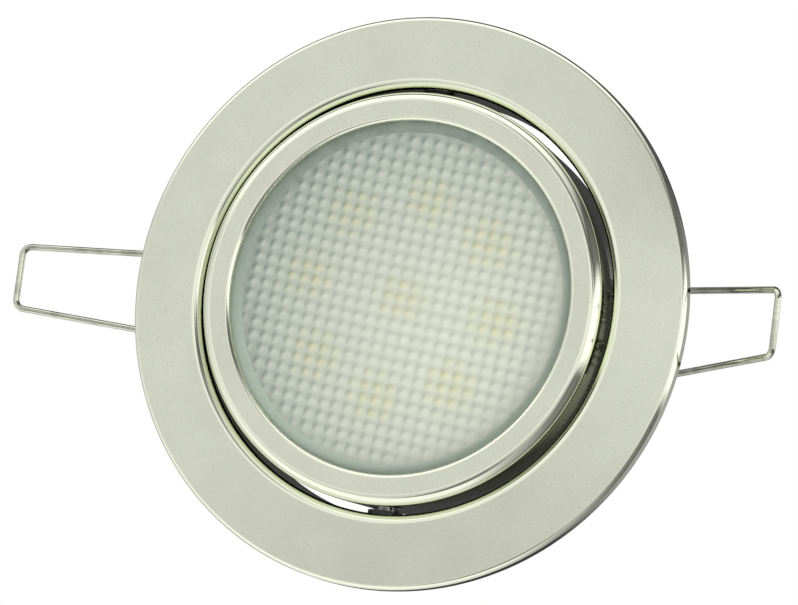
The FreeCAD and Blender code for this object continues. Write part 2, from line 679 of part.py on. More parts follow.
def led_emitters():
    bodies = []
    for place, angle in led_places():
        body = disc(LED_BODY_RADIUS, BOARD_Z - LED_BODY_HEIGHT, BOARD_Z)
        lead = Part.makeBox(2 * LED_LEAD_REACH, LED_LEAD_WIDTH, LED_LEAD_THICKNESS,
                            Vector(-LED_LEAD_REACH, -LED_LEAD_WIDTH / 2, BOARD_Z - LED_LEAD_THICKNESS))
        body = turned_copy(joined([body, lead]), angle)
        body.translate(place)
        bodies.append(body)
    return Part.makeCompound(bodies)


def led_domes():
    sphere_radius = (LED_DOME_RADIUS ** 2 + LED_DOME_HEIGHT ** 2) / (2 * LED_DOME_HEIGHT)
    base = BOARD_Z - LED_BODY_HEIGHT
    domes = []
    for place, _ in led_places():
        top = base - LED_DOME_HEIGHT
        ball = Part.makeSphere(sphere_radius, Vector(place.x, place.y, top + sphere_radius))
        slab = disc(LED_DOME_RADIUS + OVERCUT, top - OVERCUT, base, (place.x, place.y))
        domes.append(ball.common(slab))
    return Part.makeCompound(domes)


# ---------------------------------------------------------------- heatsink
def heatsink():
    base = disc(GIMBAL_BORE_RADIUS - PLATE_CLEARANCE, HEATSINK_Z, BASE_TOP_Z)
    boss = disc(HEATSINK_BOSS_RADIUS, BASE_TOP_Z, FIN_TOP_Z)
    fin_root = HEATSINK_BOSS_RADIUS - HEATSINK_FIN_THICKNESS
    outline = [
        (fin_root, BASE_TOP_Z, 0),
        (HEATSINK_FIN_RADIUS, BASE_TOP_Z, 0),
        (HEATSINK_FIN_RADIUS, FIN_TOP_Z, HEATSINK_FIN_ROUND),
        (fin_root, FIN_TOP_Z, 0),
    ]
    half = HEATSINK_FIN_THICKNESS / 2
    face = Part.Face(rounded_wire(outline, lambda a, b: Vector(a, -half, b)))
    fin = face.extrude(Vector(0, HEATSINK_FIN_THICKNESS, 0))
    fins = [turned_copy(fin, 360.0 / HEATSINK_FIN_COUNT * index) for index in range(HEATSINK_FIN_COUNT)]
    body = joined([base, boss] + fins)
    hub_floor = HEATSINK_Z + HEATSINK_HUB_FLOOR
    body = body.cut(disc(GLAND_THREAD_RADIUS, hub_floor, FIN_TOP_Z + OVERCUT))
    body = body.cut(wire_hole(HEATSINK_Z - OVERCUT, hub_floor + OVERCUT))
    for angle in board_screw_angles():
        place = at_angle(BOARD_SCREW_CIRCLE, angle)
        body = body.cut(disc(BOARD_SCREW_RADIUS, HEATSINK_Z - OVERCUT, HEATSINK_Z + BOARD_SCREW_BITE,
                             (place.x, place.y)))
    return body


def retaining_ring():
    """Internal circlip: an open flat ring with two lugs for the pliers."""
    outer = GIMBAL_BORE_RADIUS + CIRCLIP_GROOVE_DEPTH
    inner = outer - CIRCLIP_WIDTH
    top = BASE_TOP_Z + CIRCLIP_THICKNESS
    half_gap = CIRCLIP_GAP_ANGLE / 2
    below = BASE_TOP_Z - OVERCUT
    wedge = [Vector(0, 0, below), at_angle(outer + OVERCUT, -half_gap, below),
             at_angle(outer + OVERCUT, half_gap, below), Vector(0, 0, below)]
    gap = Part.Face(Part.makePolygon(wedge)).extrude(Vector(0, 0, CIRCLIP_THICKNESS + 2 * OVERCUT))
    body = ring(inner, outer, BASE_TOP_Z, top).cut(gap)
    lug_circle = inner - CIRCLIP_LUG_RADIUS / 2
    lug_angle = half_gap + math.degrees(CIRCLIP_LUG_RADIUS / lug_circle)
    for side in (-1, 1):
        place = at_angle(lug_circle, side * lug_angle)
        centre = (place.x, place.y)
        body = joined([body, disc(CIRCLIP_LUG_RADIUS, BASE_TOP_Z, top, centre)])
        body = body.cut(disc(CIRCLIP_LUG_HOLE, below, top + OVERCUT, centre))
    return body


# ---------------------------------------------------------------- cable gland
def gland_body():
    hex_top = FIN_TOP_Z + GLAND_HEX_HEIGHT
    pieces = [disc(GLAND_THREAD_RADIUS, FIN_TOP_Z - GLAND_THREAD_LENGTH, FIN_TOP_Z),
              hexagon(GLAND_HEX_FLATS, FIN_TOP_Z, hex_top),
              disc(GLAND_COLLAR_RADIUS, hex_top, hex_top + GLAND_COLLAR_HEIGHT)]
    body = joined(pieces)
    seal_seat = CABLE_BORE_RADIUS + CABLE_SEAL_WALL
    body = body.cut(disc(CABLE_BORE_RADIUS, FIN_TOP_Z - GLAND_THREAD_LENGTH - OVERCUT, hex_top + OVERCUT))
    return body.cut(disc(seal_seat, hex_top, hex_top + GLAND_COLLAR_HEIGHT + OVERCUT))


def gland_seal():
    bottom = FIN_TOP_Z + GLAND_HEX_HEIGHT
    return ring(CABLE_BORE_RADIUS, CABLE_BORE_RADIUS + CABLE_SEAL_WALL, bottom,
                bottom + GLAND_COLLAR_HEIGHT)


def gland_nut():
    bottom = FIN_TOP_Z + GLAND_HEX_HEIGHT
    top = bottom + GLAND_NUT_HEIGHT
    shell = turned([
        (0, bottom, 0),
        (GLAND_NUT_RADIUS, bottom, 0),
        (GLAND_NUT_RADIUS, top, GLAND_NUT_ROUND),
        (0, top, 0),
    ])
    shell = shell.common(joined([hexagon(GLAND_NUT_FLATS, bottom, top - GLAND_NUT_ROUND),
                                 disc(GLAND_NUT_FLATS / 2, bottom, top)]))
    shell = shell.cut(disc(GLAND_COLLAR_RADIUS, bottom - OVERCUT, bottom + GLAND_COLLAR_HEIGHT))
    return shell.cut(disc(CABLE_BORE_RADIUS, bottom, top + OVERCUT))


# ---------------------------------------------------------------- assembly
def main():
    os.makedirs("parts", exist_ok=True)
    export("trim_ring", trim_ring())
    export("soffit_gasket", soffit_gasket())
    bracket = clip_bracket()
    pin = clip_pin()
    for side, turn in (("right", 0), ("left", 180)):
        export("clip_bracket_" + side, turned_copy(bracket, turn))
        export("clip_pin_" + side, turned_copy(pin, turn))
        export("spring_clip_" + side, turned_copy(spring_clip(side), turn))
    export("bracket_rivets", bracket_rivets(), 4)
    export("pivot_pins", pivot_pins(), 2)
    export("pivot_washers", pivot_washers(), 2)
    export("pivot_clips", pivot_clips(), 2)
    export("pivot_bushes", pivot_bushes(), 2)
    export("gimbal_ring", gimbal_ring())
    export("lens_gasket", lens_gasket())
    export("lens", lens())
    export("reflector_ring", reflector_ring())
    export("led_board", led_board())
    export("thermal_pad", thermal_pad())
    export("board_screws", board_screws(), BOARD_SCREW_COUNT)
    export("led_emitters", led_emitters(), LED_COUNT + 1)
    export("led_domes", led_domes(), LED_COUNT + 1)
    export("heatsink", heatsink())
    export("retaining_ring", retaining_ring())
    export("gland_body", gland_body())
    export("gland_seal", gland_seal())
    export("gland_nut", gland_nut())


main()
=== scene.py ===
import json
import math

import bmesh
import bpy
from bpy.props import FloatProperty, FloatVectorProperty, IntProperty, PointerProperty
from bpy.types import Operator, Panel, PropertyGroup
from mathutils import Matrix, Vector


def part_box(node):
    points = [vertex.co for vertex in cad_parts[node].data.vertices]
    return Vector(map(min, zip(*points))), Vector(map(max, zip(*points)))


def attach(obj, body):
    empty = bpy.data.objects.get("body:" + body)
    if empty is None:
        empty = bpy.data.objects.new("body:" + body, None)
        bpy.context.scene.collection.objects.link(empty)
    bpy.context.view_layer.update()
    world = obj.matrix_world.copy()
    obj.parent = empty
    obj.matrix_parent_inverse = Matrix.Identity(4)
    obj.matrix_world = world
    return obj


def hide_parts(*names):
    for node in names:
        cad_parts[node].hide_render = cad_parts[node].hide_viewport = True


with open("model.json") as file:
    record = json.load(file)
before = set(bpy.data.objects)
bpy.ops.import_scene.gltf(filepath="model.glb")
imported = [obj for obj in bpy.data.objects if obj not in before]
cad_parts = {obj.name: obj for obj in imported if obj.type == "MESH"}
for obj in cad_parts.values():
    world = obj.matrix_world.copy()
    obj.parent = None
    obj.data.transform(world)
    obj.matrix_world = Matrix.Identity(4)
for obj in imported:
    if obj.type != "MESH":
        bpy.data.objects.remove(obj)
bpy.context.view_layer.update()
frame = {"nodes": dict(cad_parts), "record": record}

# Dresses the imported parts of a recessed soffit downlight: turned and polished rings,
# a prism lens, the lamp behind it, sprung wire clips, a cast heatsink and a cable gland.
# Metres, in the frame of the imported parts: +Z up into the soffit, light leaves towards -Z.

bl_info = {
    "name": "Soffit Downlight",
    "version": (1, 0, 0),
    "blender": (4, 5, 0),
    "location": "3D Viewport > Sidebar > Downlight",
    "description": "Builds a tilting soffit downlight with its finishes and a plain studio",
    "category": "Object",
}

MM = 0.001

# The picture in pixels: its size, and where the middle of the flange's front lies in it
IMAGE_WIDTH = 798
IMAGE_HEIGHT = 605
FRONT_PIXEL = (404.0, 299.7)
FRONT_HEIGHT = -2.8 * MM
# The camera: its right-hand side, the way from the fitting to it, its film and its range
CAMERA_RIGHT = (0.9396, -0.1274, 0.3176)
CAMERA_WAY = (0.3343, 0.1434, -0.9315)
FILM_WIDTH = 36.0
CAMERA_RANGE = (0.01, 50.0)

# Mesh steps and angles
TURNED_STEPS = 288
HOLE_STEPS = 48
ARC_STEP = 6.0
FEWEST_ARC_STEPS = 3
LONGEST_FACE = 2.5 * MM
FLAT_GUARD = 0.04 * MM
SHORT_RUN = 10 * FLAT_GUARD
WELD = 0.002 * MM
FLAT_ANGLE = math.radians(0.6)
SHARP_ANGLE = math.radians(35.0)
PRISM_ANGLE = math.radians(40.0)
SOFTENED_ANGLE = math.radians(50.0)

# A mix node's unused vector factor, and the places of the colours among its sockets
MIX_EVEN = (0.5, 0.5, 0.5)
MIX_COLOUR_A = 6
MIX_COLOUR_B = 7
MIX_COLOUR_RESULT = 2
# Where most values of a noise lie, and where its clouds begin and end
NOISE_SPAN = (0.3, 0.7)
CLOUD_SPAN = (0.35, 0.7)
GLASS_IOR = 1.49
# Span along Y in millimetres of the painted light on the frosted rim: darker towards -Y, lighter
# towards +Y
FROST_FADE = (-30.0, 12.0)

# Colours of small pieces and of stains
CLEAR_SILICONE = (0.62, 0.64, 0.60)
PAD_GREY = (0.30, 0.32, 0.36)
SEAL_BLACK = (0.02, 0.02, 0.02)
BUSH_NYLON = (0.80, 0.78, 0.71)
SCREW_STEEL = (0.55, 0.55, 0.54)
CLIP_PIN_STEEL = (0.56, 0.56, 0.55)
PIVOT_PIN_STEEL = (0.60, 0.60, 0.58)
PUSH_ON_STEEL = (0.50, 0.50, 0.49)
RIVET_ALUMINIUM = (0.72, 0.72, 0.71)
DARK_PHOSPHATE = (0.045, 0.047, 0.052)
GREY_PHOSPHATE = (0.12, 0.12, 0.125)
BARE_STEEL = (0.42, 0.42, 0.42)
YELLOW_PASSIVATION = (0.62, 0.56, 0.36)
COPPER_UNDER_MASK = (0.78, 0.70, 0.52)

# Painted shade on the prisms: how much of it is on the side away from the key lamp, the painted
# shade at the rim, in a flank and in a valley, and the share of flank and valley in the middle and
# rim
SHADED_SIDE = Vector((-0.8, -0.6))
SIDE_SHARE = 0.38
RIM_SHADE = 0.28
FLANK_SHADE = 0.45
VALLEY_SHADE = 0.3
MIDDLE_SHARE = 0.03
RIM_SHARE = 1.15

# Soft lamps: name, direction from the fitting, distance, side and power in watts
LAMPS = (
    ("key_lamp", (0.75, 0.55, -0.55), 1.0, 0.7, 11.2),
    ("side_lamp", (-0.85, 0.2, -0.25), 1.1, 0.7, 2.4),
    ("top_lamp", (-0.3, -0.4, 1.0), 1.2, 0.9, 3.6),
)
FLOOR_HALF = 9.0
FLOOR_STEPS = 24
FLOOR_ROUGHNESS = 0.9
FLOOR_GLOW = 0.6


# ---- sizes read from the frame
def reach_of(node):
    """Least and greatest distance of a node's points from the lamp's axis."""
    points = frame["nodes"][node].data.vertices
    distances = [math.hypot(point.co.x, point.co.y) for point in points]
    return min(distances), max(distances)


def height_of(node):
    """Lowest and highest place of a node."""
    low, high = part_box(node)
    return low.z, high.z


NECK_BORE, FLANGE_RADIUS = reach_of("trim_ring")
TRIM_FRONT, NECK_TOP = height_of("trim_ring")
GIMBAL_LIP_RADIUS, GIMBAL_RADIUS = reach_of("gimbal_ring")
GIMBAL_FRONT, GIMBAL_BACK = height_of("gimbal_ring")
CIRCLIP_LOW, CIRCLIP_HIGH = height_of("retaining_ring")
CIRCLIP_OUTER = reach_of("retaining_ring")[1]
LENS_RADIUS = reach_of("lens")[1]
LENS_BACK = height_of("lens")[1]
LENS_CORNER = 0.3 * MM
LENS_BACK_RINGS = (0.6, 0.2)
DOME_TIP = 0.05 * MM
LENS_FRONT = height_of("lens_gasket")[1]
GASKET_INNER, GASKET_OUTER = reach_of("soffit_gasket")
GASKET_FRONT, GASKET_BACK = height_of("soffit_gasket")
PIVOT_HEIGHT = sum(height_of("pivot_washers")) / 2
PIN_HOLE_RADIUS = 1.5 * MM
BUSH_HOLE_RADIUS = (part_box("pivot_bushes")[1].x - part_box("pivot_bushes")[0].x) / 2
RIVET_HEIGHT = sum(height_of("bracket_rivets")) / 2
RIVET_SHANK_RADIUS = 1.0 * MM
RIVET_ANGLE = 7.5
FOAM_SWELL = 0.25 * MM
FOAM_ARC_STEP = 30.0
FOAM_FACE = 0.9 * MM
# Waves in the foam's cut edge: number round the ring, slant per metre of height, and start
FOAM_WAVES = ((23, 900, 0.0), (57, 0, 1.7))
FOAM_WAVE = 0.2

# The room as polished metal sees it, as (direction round the fitting in degrees, brightness).
# A bright window stands on +X between two dark curtains. From the white card on the floor up:
# skirting, dado, lit walls, their shaded tops and the ceiling.
ROOM_TOPS = ((-180, 0.55), (-160, 0.45), (-150, 0.35), (-128, 0.22), (-110, 0.08), (-47, 0.08),
             (-27, 0.20), (-18, 1.40), (8, 1.30), (17, 0.15), (38, 0.15), (60, 0.35), (84, 0.80),
             (110, 0.95), (140, 0.60), (180, 0.55))
ROOM_WALLS = ((-180, 0.80), (-162, 0.72), (-152, 1.25), (-78, 1.25), (-62, 0.80), (-47, 0.12),
              (-27, 0.20), (-18, 1.30), (8, 1.25), (16, 0.20), (38, 0.25), (60, 0.50),
              (78, 1.05), (140, 1.15), (160, 1.00), (180, 0.80))
ROOM_DADO = ((-180, 0.72), (-160, 0.60), (-152, 1.00), (-114, 0.92), (-104, 0.55), (-58, 0.50),
             (-47, 0.10), (-27, 0.16), (-18, 1.30), (8, 1.25), (16, 0.16), (38, 0.18), (56, 0.45),
             (76, 1.00), (120, 1.10), (160, 0.95), (180, 0.72))
ROOM_SKIRTING = ((-180, 0.93), (-124, 0.93), (-117, 0.52), (-95, 0.32), (-70, 0.12), (-44, 0.26),
                 (-37, 0.95), (11, 0.90), (20, 0.46), (64, 0.50), (92, 0.16), (108, 0.28),
                 (120, 0.66), (165, 0.76), (180, 0.93))
# Height of the direction, from -1 to 1, at which each of them ends
CARD_EDGE = (-0.978, -0.962)
SKIRTING_EDGE = (-0.90, -0.86)
DADO_EDGE = (-0.80, -0.72)
WALL_EDGE = (-0.14, 0.0)
TOPS_EDGE = (0.78, 0.88)
# The skirting ends higher from this far towards -X and towards +Y, with these slopes
SLOPE_START = 0.2
SLOPE_LEFT = 0.4
SLOPE_BACK = 0.3
# Brightness of the card towards +Y and of the ceiling towards +X, each over a stretch
CARD_FADE = (-0.14, 0.16)
CARD_LEVELS = (0.97, 0.70)
CEILING_FADE = (0.0, 0.3)
CEILING_LEVELS = (0.06, 0.50)


# ---- settings
def length(name, description, default):
    return FloatProperty(name=name, description=description, default=default, min=0.0,
                         precision=5, subtype="DISTANCE", unit="LENGTH")


def colour(name, description, default):
    return FloatVectorProperty(name=name, description=description, default=default, size=3,
                               min=0.0, max=1.0, subtype="COLOR")


def share(name, description, default):
    return FloatProperty(name=name, description=description, default=default, min=0.0, max=1.0,
                         subtype="FACTOR")


class RingSettings(PropertyGroup):
    """Turned flange and lamp ring."""
    rim_depth: length("Rim depth", "Height of the flange's turned-down rim", 2.8 * MM)
    rim_round: length("Rim round", "Rounding of the flange's outer edge", 0.9 * MM)
    lip_round: length("Lip round", "Rolled edge between the flange and its neck", 1.7 * MM)
    flange_wall: length("Flange wall", "Sheet thickness of the flange and neck", 1.2 * MM)
    inner_round: length("Inner round", "Rounding of the corners behind the flange", 0.4 * MM)
    gimbal_wall: length("Lamp ring wall", "Wall of the tilting ring at its front", 1.9 * MM)
    gimbal_taper: length("Lamp ring taper", "How much the ring narrows towards its back", 0.6 * MM)
    gimbal_round: length("Lamp ring round", "Rounding of the ring's outer edge", 1.8 * MM)
    gimbal_lip_round: length("Lip edge round", "Rounding of the edge before the lens", 0.7 * MM)
    gimbal_lip_depth: length("Lip depth", "Thickness of the lip before the lens", 1.6 * MM)
    nickel: colour("Polished nickel", "Colour of the polished plating", (0.684, 0.708, 0.582))
    polish: share("Polish", "Roughness of the polished plating", 0.055)


class LensSettings(PropertyGroup):
    """Prism lens."""
    pitch: length("Prism pitch", "Distance between the middles of two prisms", 2.4 * MM)
    rise: length("Prism rise", "Height of each domed prism", 0.36 * MM)
    crown: length("Crown", "Rise of the lens's middle under the prisms", 0.42 * MM)
    border: length("Border", "Plain glass round the prisms", 1.9 * MM)
    turn: FloatProperty(name="Turn", description="Direction of the rows of prisms",
                        default=math.radians(7.0), subtype="ANGLE", unit="ROTATION")
    divisions: IntProperty(name="Divisions", description="Mesh steps across one prism", default=8,
                           min=2, max=12)
    glass: colour("Glass", "Colour of the milky glass in the middle", (0.955, 0.985, 0.865))
    # Spots and spot radius: a painted image of the yellow light sources, seen through the prisms
    # over them
    spot: colour("Spots", "Colour of the prisms over the light sources", (0.99, 0.975, 0.60))
    spot_radius: length("Spot radius", "Reach of each light source's yellow prisms", 5.4 * MM)
    # Shade: colour of the painted shade in the prisms' flanks and valleys and near the rim
    shade: colour("Shade", "Colour of the glass in the prisms' flanks", (0.28, 0.40, 0.34))
    frost: colour("Frosted rim", "Colour of the glass round the prisms", (0.38, 0.45, 0.38))


class LampSettings(PropertyGroup):
    """Light sources, their board and the reflector."""
    phosphor: colour("Phosphor", "Colour of the unlit light sources", (0.95, 0.84, 0.28))
    body: colour("Body", "Moulded body of the light sources", (0.88, 0.87, 0.80))
    board: colour("Board", "Solder mask of the circuit board", (0.93, 0.935, 0.90))
    # The reflector's white plastic is given a dark grey here, as painted shade seen through the
    # lens rim
    reflector: colour("Reflector", "Satin reflector ring", (0.30, 0.34, 0.325))


class BackSettings(PropertyGroup):
    """Heatsink, clips, hinges and gland."""
    casting: colour("Casting", "Cast aluminium of the heatsink", (0.55, 0.56, 0.57))
    casting_edge: length("Casting edge", "Rounding of the casting's edges", 0.35 * MM)
    wire: colour("Wire", "Drawn wire of the clips", (0.64, 0.66, 0.53))
    zinc: colour("Zinc", "Zinc plating of the clip brackets", (0.58, 0.60, 0.61))
    stamping_edge: length("Stamping edge", "Rounding of the stamped edges", 0.12 * MM)
    nylon: colour("Gland nylon", "Moulded cable gland", (0.035, 0.036, 0.04))
    moulding_edge: length("Moulding edge", "Rounding of the gland's edges", 0.25 * MM)
    foam: colour("Foam", "Closed-cell foam of the soffit gasket", (0.045, 0.045, 0.047))


class StudioSettings(PropertyGroup):
    """Camera, floor and light."""
    distance: length("Camera distance", "From the lens to the camera", 0.764)
    focal_pixels: FloatProperty(name="Focal length", description="In pixels of the picture",
                                default=4200.0, min=1.0)
    floor_drop: length("Floor", "How far the floor lies below the fitting", 1.6)
    floor_colour: colour("Floor colour", "Plain pale floor", (0.88, 0.88, 0.87))
    room_light: share("Room light", "Light of the room on plain surfaces", 0.62)


# ---- finishes
class Nodes:
    """Adds and links the nodes of a material or a world."""

    def __init__(self, owner):
        owner.use_nodes = True
        self.tree = owner.node_tree
        self.tree.nodes.clear()

    def join(self, source, socket):
        """Link a node's output, or set a plain value."""
        if isinstance(source, bpy.types.NodeSocket):
            self.tree.links.new(source, socket)
        else:
            socket.default_value = source

    def node(self, kind, *values, **settings):
        """New node with these values or links in its first inputs."""
        node = self.tree.nodes.new("ShaderNode" + kind)
        for name, setting in settings.items():
            setattr(node, name, setting)
        for value, socket in zip(values, node.inputs):
            self.join(value, socket)
        return node

    def reckon(self, operation, first, second):
        return self.node("Math", first, second, operation=operation).outputs[0]

    def parts(self, vector):
        """Outputs for the X, Y and Z of a vector."""
        return self.node("SeparateXYZ", vector).outputs


class Finish(Nodes):
    """One material, with its patterns measured in millimetres on the piece."""

    def __init__(self, name, metallic=0.0):
        self.material = bpy.data.materials.new(name)
        super().__init__(self.material)
        self.shader = self.node("BsdfPrincipled")
        self.output = self.node("OutputMaterial", self.shader.outputs["BSDF"])
        self.shader.inputs["Metallic"].default_value = metallic
        self.place = self.scaled(self.node("TexCoord").outputs["Object"], (1 / MM, 1 / MM, 1 / MM))

    def scaled(self, vector, amounts):
        return self.node("VectorMath", vector, amounts, operation="MULTIPLY").outputs["Vector"]

    def along_ring(self):
        """Radius and height, so that a pattern runs in rings round the lamp's axis."""
        flat = self.scaled(self.place, (1, 1, 0))
        radius = self.node("VectorMath", flat, operation="LENGTH").outputs["Value"]
        return self.node("CombineXYZ", radius, 0.0, self.parts(self.place)["Z"]).outputs[0]

    def noise(self, size, detail, rough, place=None, stretch=(1, 1, 1)):
        """Cloudy pattern with features of about this size in millimetres."""
        where = self.place if place is None else place
        if stretch != (1, 1, 1):
            where = self.scaled(where, stretch)
        return self.node("TexNoise", where, 0.0, 1 / size, detail, rough).outputs["Fac"]

    def cells(self, size):
        """Distance to the middles of cells of about this size in millimetres."""
        return self.node("TexVoronoi", self.place, 0.0, 1 / size).outputs["Distance"]

    def grade(self, value, low, high, to_low=0.0, to_high=1.0):
        """Map a value from one range to another, held at its ends."""
        return self.node("MapRange", value, low, high, to_low, to_high).outputs[0]

    def spread(self, pattern, to_low, to_high):
        """Map the span where most values of a noise lie."""
        return self.grade(pattern, *NOISE_SPAN, to_low, to_high)

    def mix(self, amount, first, second):
        """Blend of two colours."""
        node = self.node("Mix", amount, data_type="RGBA")
        for value, socket in ((first, MIX_COLOUR_A), (second, MIX_COLOUR_B)):
            linked = isinstance(value, bpy.types.NodeSocket)
            self.join(value if linked else (*value, 1.0), node.inputs[socket])
        return node.outputs[MIX_COLOUR_RESULT]

    def clouded(self, pattern, base, dark, light, span=CLOUD_SPAN):
        """Base colour, from a dark tone to a light one as the pattern rises."""
        return self.mix(self.grade(pattern, *span), toned(base, dark), toned(base, light))

    def stained(self, tint, pattern, span, amount, stain):
        """Stain over a colour where the pattern is high, up to this amount."""
        return self.mix(self.grade(pattern, *span, 0.0, amount), tint, stain)

    def mark(self, name):
        """Value that the piece's mesh carries under this name."""
        return self.node("Attribute", attribute_name=name).outputs["Fac"]

    def wear_and_sheen(self, amount):
        """This amount on the rounded edges that the piece's mesh marks, 0 elsewhere: for edge
        wear, and on the polished nickel also a painted highlight.
        """
        return self.reckon("MULTIPLY", self.mark("worn_edge"), amount)

    def bump(self, height, depth, before=None):
        """Raise the surface by the pattern, to this depth in millimetres."""
        node = self.node("Bump")
        self.join(height, node.inputs["Height"])
        self.join(depth * MM, node.inputs["Distance"])
        if before is not None:
            self.join(before, node.inputs["Normal"])
        return node.outputs["Normal"]

    def let_through(self, amount):
        """Make it glass that lets this share of the light through."""
        self.shader.inputs["IOR"].default_value = GLASS_IOR
        self.shader.inputs["Transmission Weight"].default_value = amount

    def finish(self, base, roughness, normal):
        self.join(base, self.shader.inputs["Base Color"])
        self.join(roughness, self.shader.inputs["Roughness"])
        self.join(normal, self.shader.inputs["Normal"])
        return self.material


def toned(base, amount):
    """The same colour, multiplied."""
    return tuple(min(1.0, part * amount) for part in base)


# In the recipes a noise gives its size in millimetres, its detail and its roughness, and a bump
# its depth in millimetres.
def polished_nickel(name, base, roughness):
    """Buffed plating: near mirror, with a faint haze, buffing rings and hairline scratches; its
    rounded edges brighter, partly rubbed plating and partly a painted highlight.
    """
    kit = Finish(name, metallic=1.0)
    haze = kit.noise(9.0, 4.0, 0.55)
    fine = kit.noise(0.35, 2.0, 0.6)
    speckle = kit.noise(0.5, 3.0, 0.7)
    rings = kit.noise(0.16, 2.0, 0.7, place=kit.along_ring())
    scratch = kit.noise(1.4, 1.0, 0.4, stretch=(0.25, 7.0, 1.0))
    hairline = kit.grade(scratch, 0.70, 0.76)
    tint = kit.clouded(haze, base, 0.955, 1.02, (0.35, 0.68))
    tint = kit.stained(tint, speckle, (0.46, 0.75), 0.8, toned(base, 0.88))
    # Brighter on the rounded edges: rubbed plating, and a painted highlight along the roundings
    tint = kit.mix(kit.wear_and_sheen(0.8), tint, toned(base, 1.32))
    dull = kit.spread(haze, roughness * 0.75, roughness * 1.35)
    dull = kit.reckon("ADD", dull, kit.reckon("MULTIPLY", hairline, 0.06))
    relief = kit.bump(rings, 0.0016, kit.bump(fine, 0.0016))
    return kit.finish(tint, dull, kit.bump(haze, 0.010, relief))


def drawn_wire(name, base):
    """Hard drawn spring wire with die lines along the arms."""
    kit = Finish(name, metallic=1.0)
    die_lines = kit.noise(0.30, 2.0, 0.6, stretch=(0.03, 1.0, 0.25))
    patches = kit.noise(4.0, 3.0, 0.5)
    tint = kit.clouded(die_lines, base, 0.90, 1.08, (0.38, 0.62))
    tint = kit.stained(tint, patches, (0.46, 0.62), 0.6, toned(base, 0.55))
    return kit.finish(tint, kit.spread(die_lines, 0.04, 0.09), kit.bump(die_lines, 0.0015))


def turned_steel(name, base, roughness=0.28):
    """Bright turned or stamped metal with fine tool marks."""
    kit = Finish(name, metallic=1.0)
    marks = kit.noise(0.12, 2.0, 0.7, stretch=(1.0, 0.3, 3.0))
    tint = kit.stained(base, kit.noise(2.2, 4.0, 0.6), (0.4, 0.75), 1.0, toned(base, 0.72))
    dull = kit.spread(marks, roughness * 0.7, roughness * 1.3)
    return kit.finish(tint, dull, kit.bump(marks, 0.004))


def zinc_plate(name, base):
    """Zinc-plated stamping: cloudy passivation, rubbed edges."""
    kit = Finish(name, metallic=1.0)
    cloud = kit.noise(3.0, 5.0, 0.6)
    spangle = kit.cells(0.9)
    tint = kit.clouded(cloud, base, 0.82, 1.08)
    tint = kit.stained(tint, cloud, (0.58, 0.72), 0.30, YELLOW_PASSIVATION)
    tint = kit.mix(kit.wear_and_sheen(0.6), tint, toned(base, 1.3))
    dull = kit.reckon("ADD", kit.spread(cloud, 0.26, 0.40), kit.wear_and_sheen(-0.10))
    relief = kit.bump(kit.noise(0.25, 2.0, 0.6), 0.003, kit.bump(spangle, 0.004))
    return kit.finish(tint, dull, relief)


def cast_aluminium(name, base):
    """Die casting: fine skin grain, flow marks and brighter rubbed edges."""
    kit = Finish(name, metallic=1.0)
    grain = kit.noise(0.22, 3.0, 0.65)
    flow = kit.noise(7.0, 5.0, 0.6, stretch=(1.0, 1.0, 0.45))
    pits = kit.grade(kit.cells(0.8), 0.05, 0.16)
    tint = kit.clouded(flow, base, 0.80, 1.12)
    tint = kit.mix(kit.wear_and_sheen(0.55), tint, toned(base, 1.45))
    dull = kit.reckon("ADD", kit.spread(grain, 0.40, 0.58), kit.wear_and_sheen(-0.14))
    return kit.finish(tint, dull, kit.bump(pits, 0.02, kit.bump(grain, 0.035)))


def phosphated_steel(name):
    """Black phosphated spring steel, bare on its edges."""
    kit = Finish(name, metallic=1.0)
    crystal = kit.noise(0.15, 3.0, 0.7)
    tint = kit.stained(DARK_PHOSPHATE, crystal, CLOUD_SPAN, 1.0, GREY_PHOSPHATE)
    tint = kit.mix(kit.wear_and_sheen(0.7), tint, BARE_STEEL)
    return kit.finish(tint, kit.spread(crystal, 0.38, 0.55), kit.bump(crystal, 0.01))


def moulded_plastic(name, base, roughness, grain_depth=0.006):
    """Injection-moulded plastic with a fine spark-eroded grain and polished edges."""
    kit = Finish(name)
    grain = kit.noise(0.18, 2.0, 0.6)
    tint = kit.clouded(kit.noise(5.0, 3.0, 0.5), base, 0.95, 1.04)
    tint = kit.mix(kit.wear_and_sheen(0.35), tint, toned(base, 1.35))
    dull = kit.spread(grain, roughness * 0.85, roughness * 1.15)
    return kit.finish(tint, dull, kit.bump(grain, grain_depth))


def closed_cell_foam(name, base):
    """Soft foam with open cut cells."""
    kit = Finish(name)
    cell = kit.cells(0.45)
    cloud = kit.noise(3.0, 3.0, 0.6)
    tint = kit.clouded(cell, base, 0.5, 1.5, (0.0, 0.5))
    tint = kit.stained(tint, cloud, (0.5, 0.8), 0.5, toned(base, 2.2))
    relief = kit.bump(cloud, 0.15, kit.bump(cell, 0.12))
    return kit.finish(tint, kit.spread(cloud, 0.82, 0.95), relief)


def soft_rubber(name, base, roughness):
    """Cut rubber or silicone with a dusty bloom."""
    kit = Finish(name)
    bloom = kit.noise(1.5, 4.0, 0.6)
    cut = kit.noise(0.12, 2.0, 0.7, place=kit.along_ring())
    tint = kit.stained(base, bloom, (0.45, 0.75), 0.6, toned(base, 1.5))
    dull = kit.spread(bloom, roughness * 0.9, roughness * 1.2)
    return kit.finish(tint, dull, kit.bump(cut, 0.01))


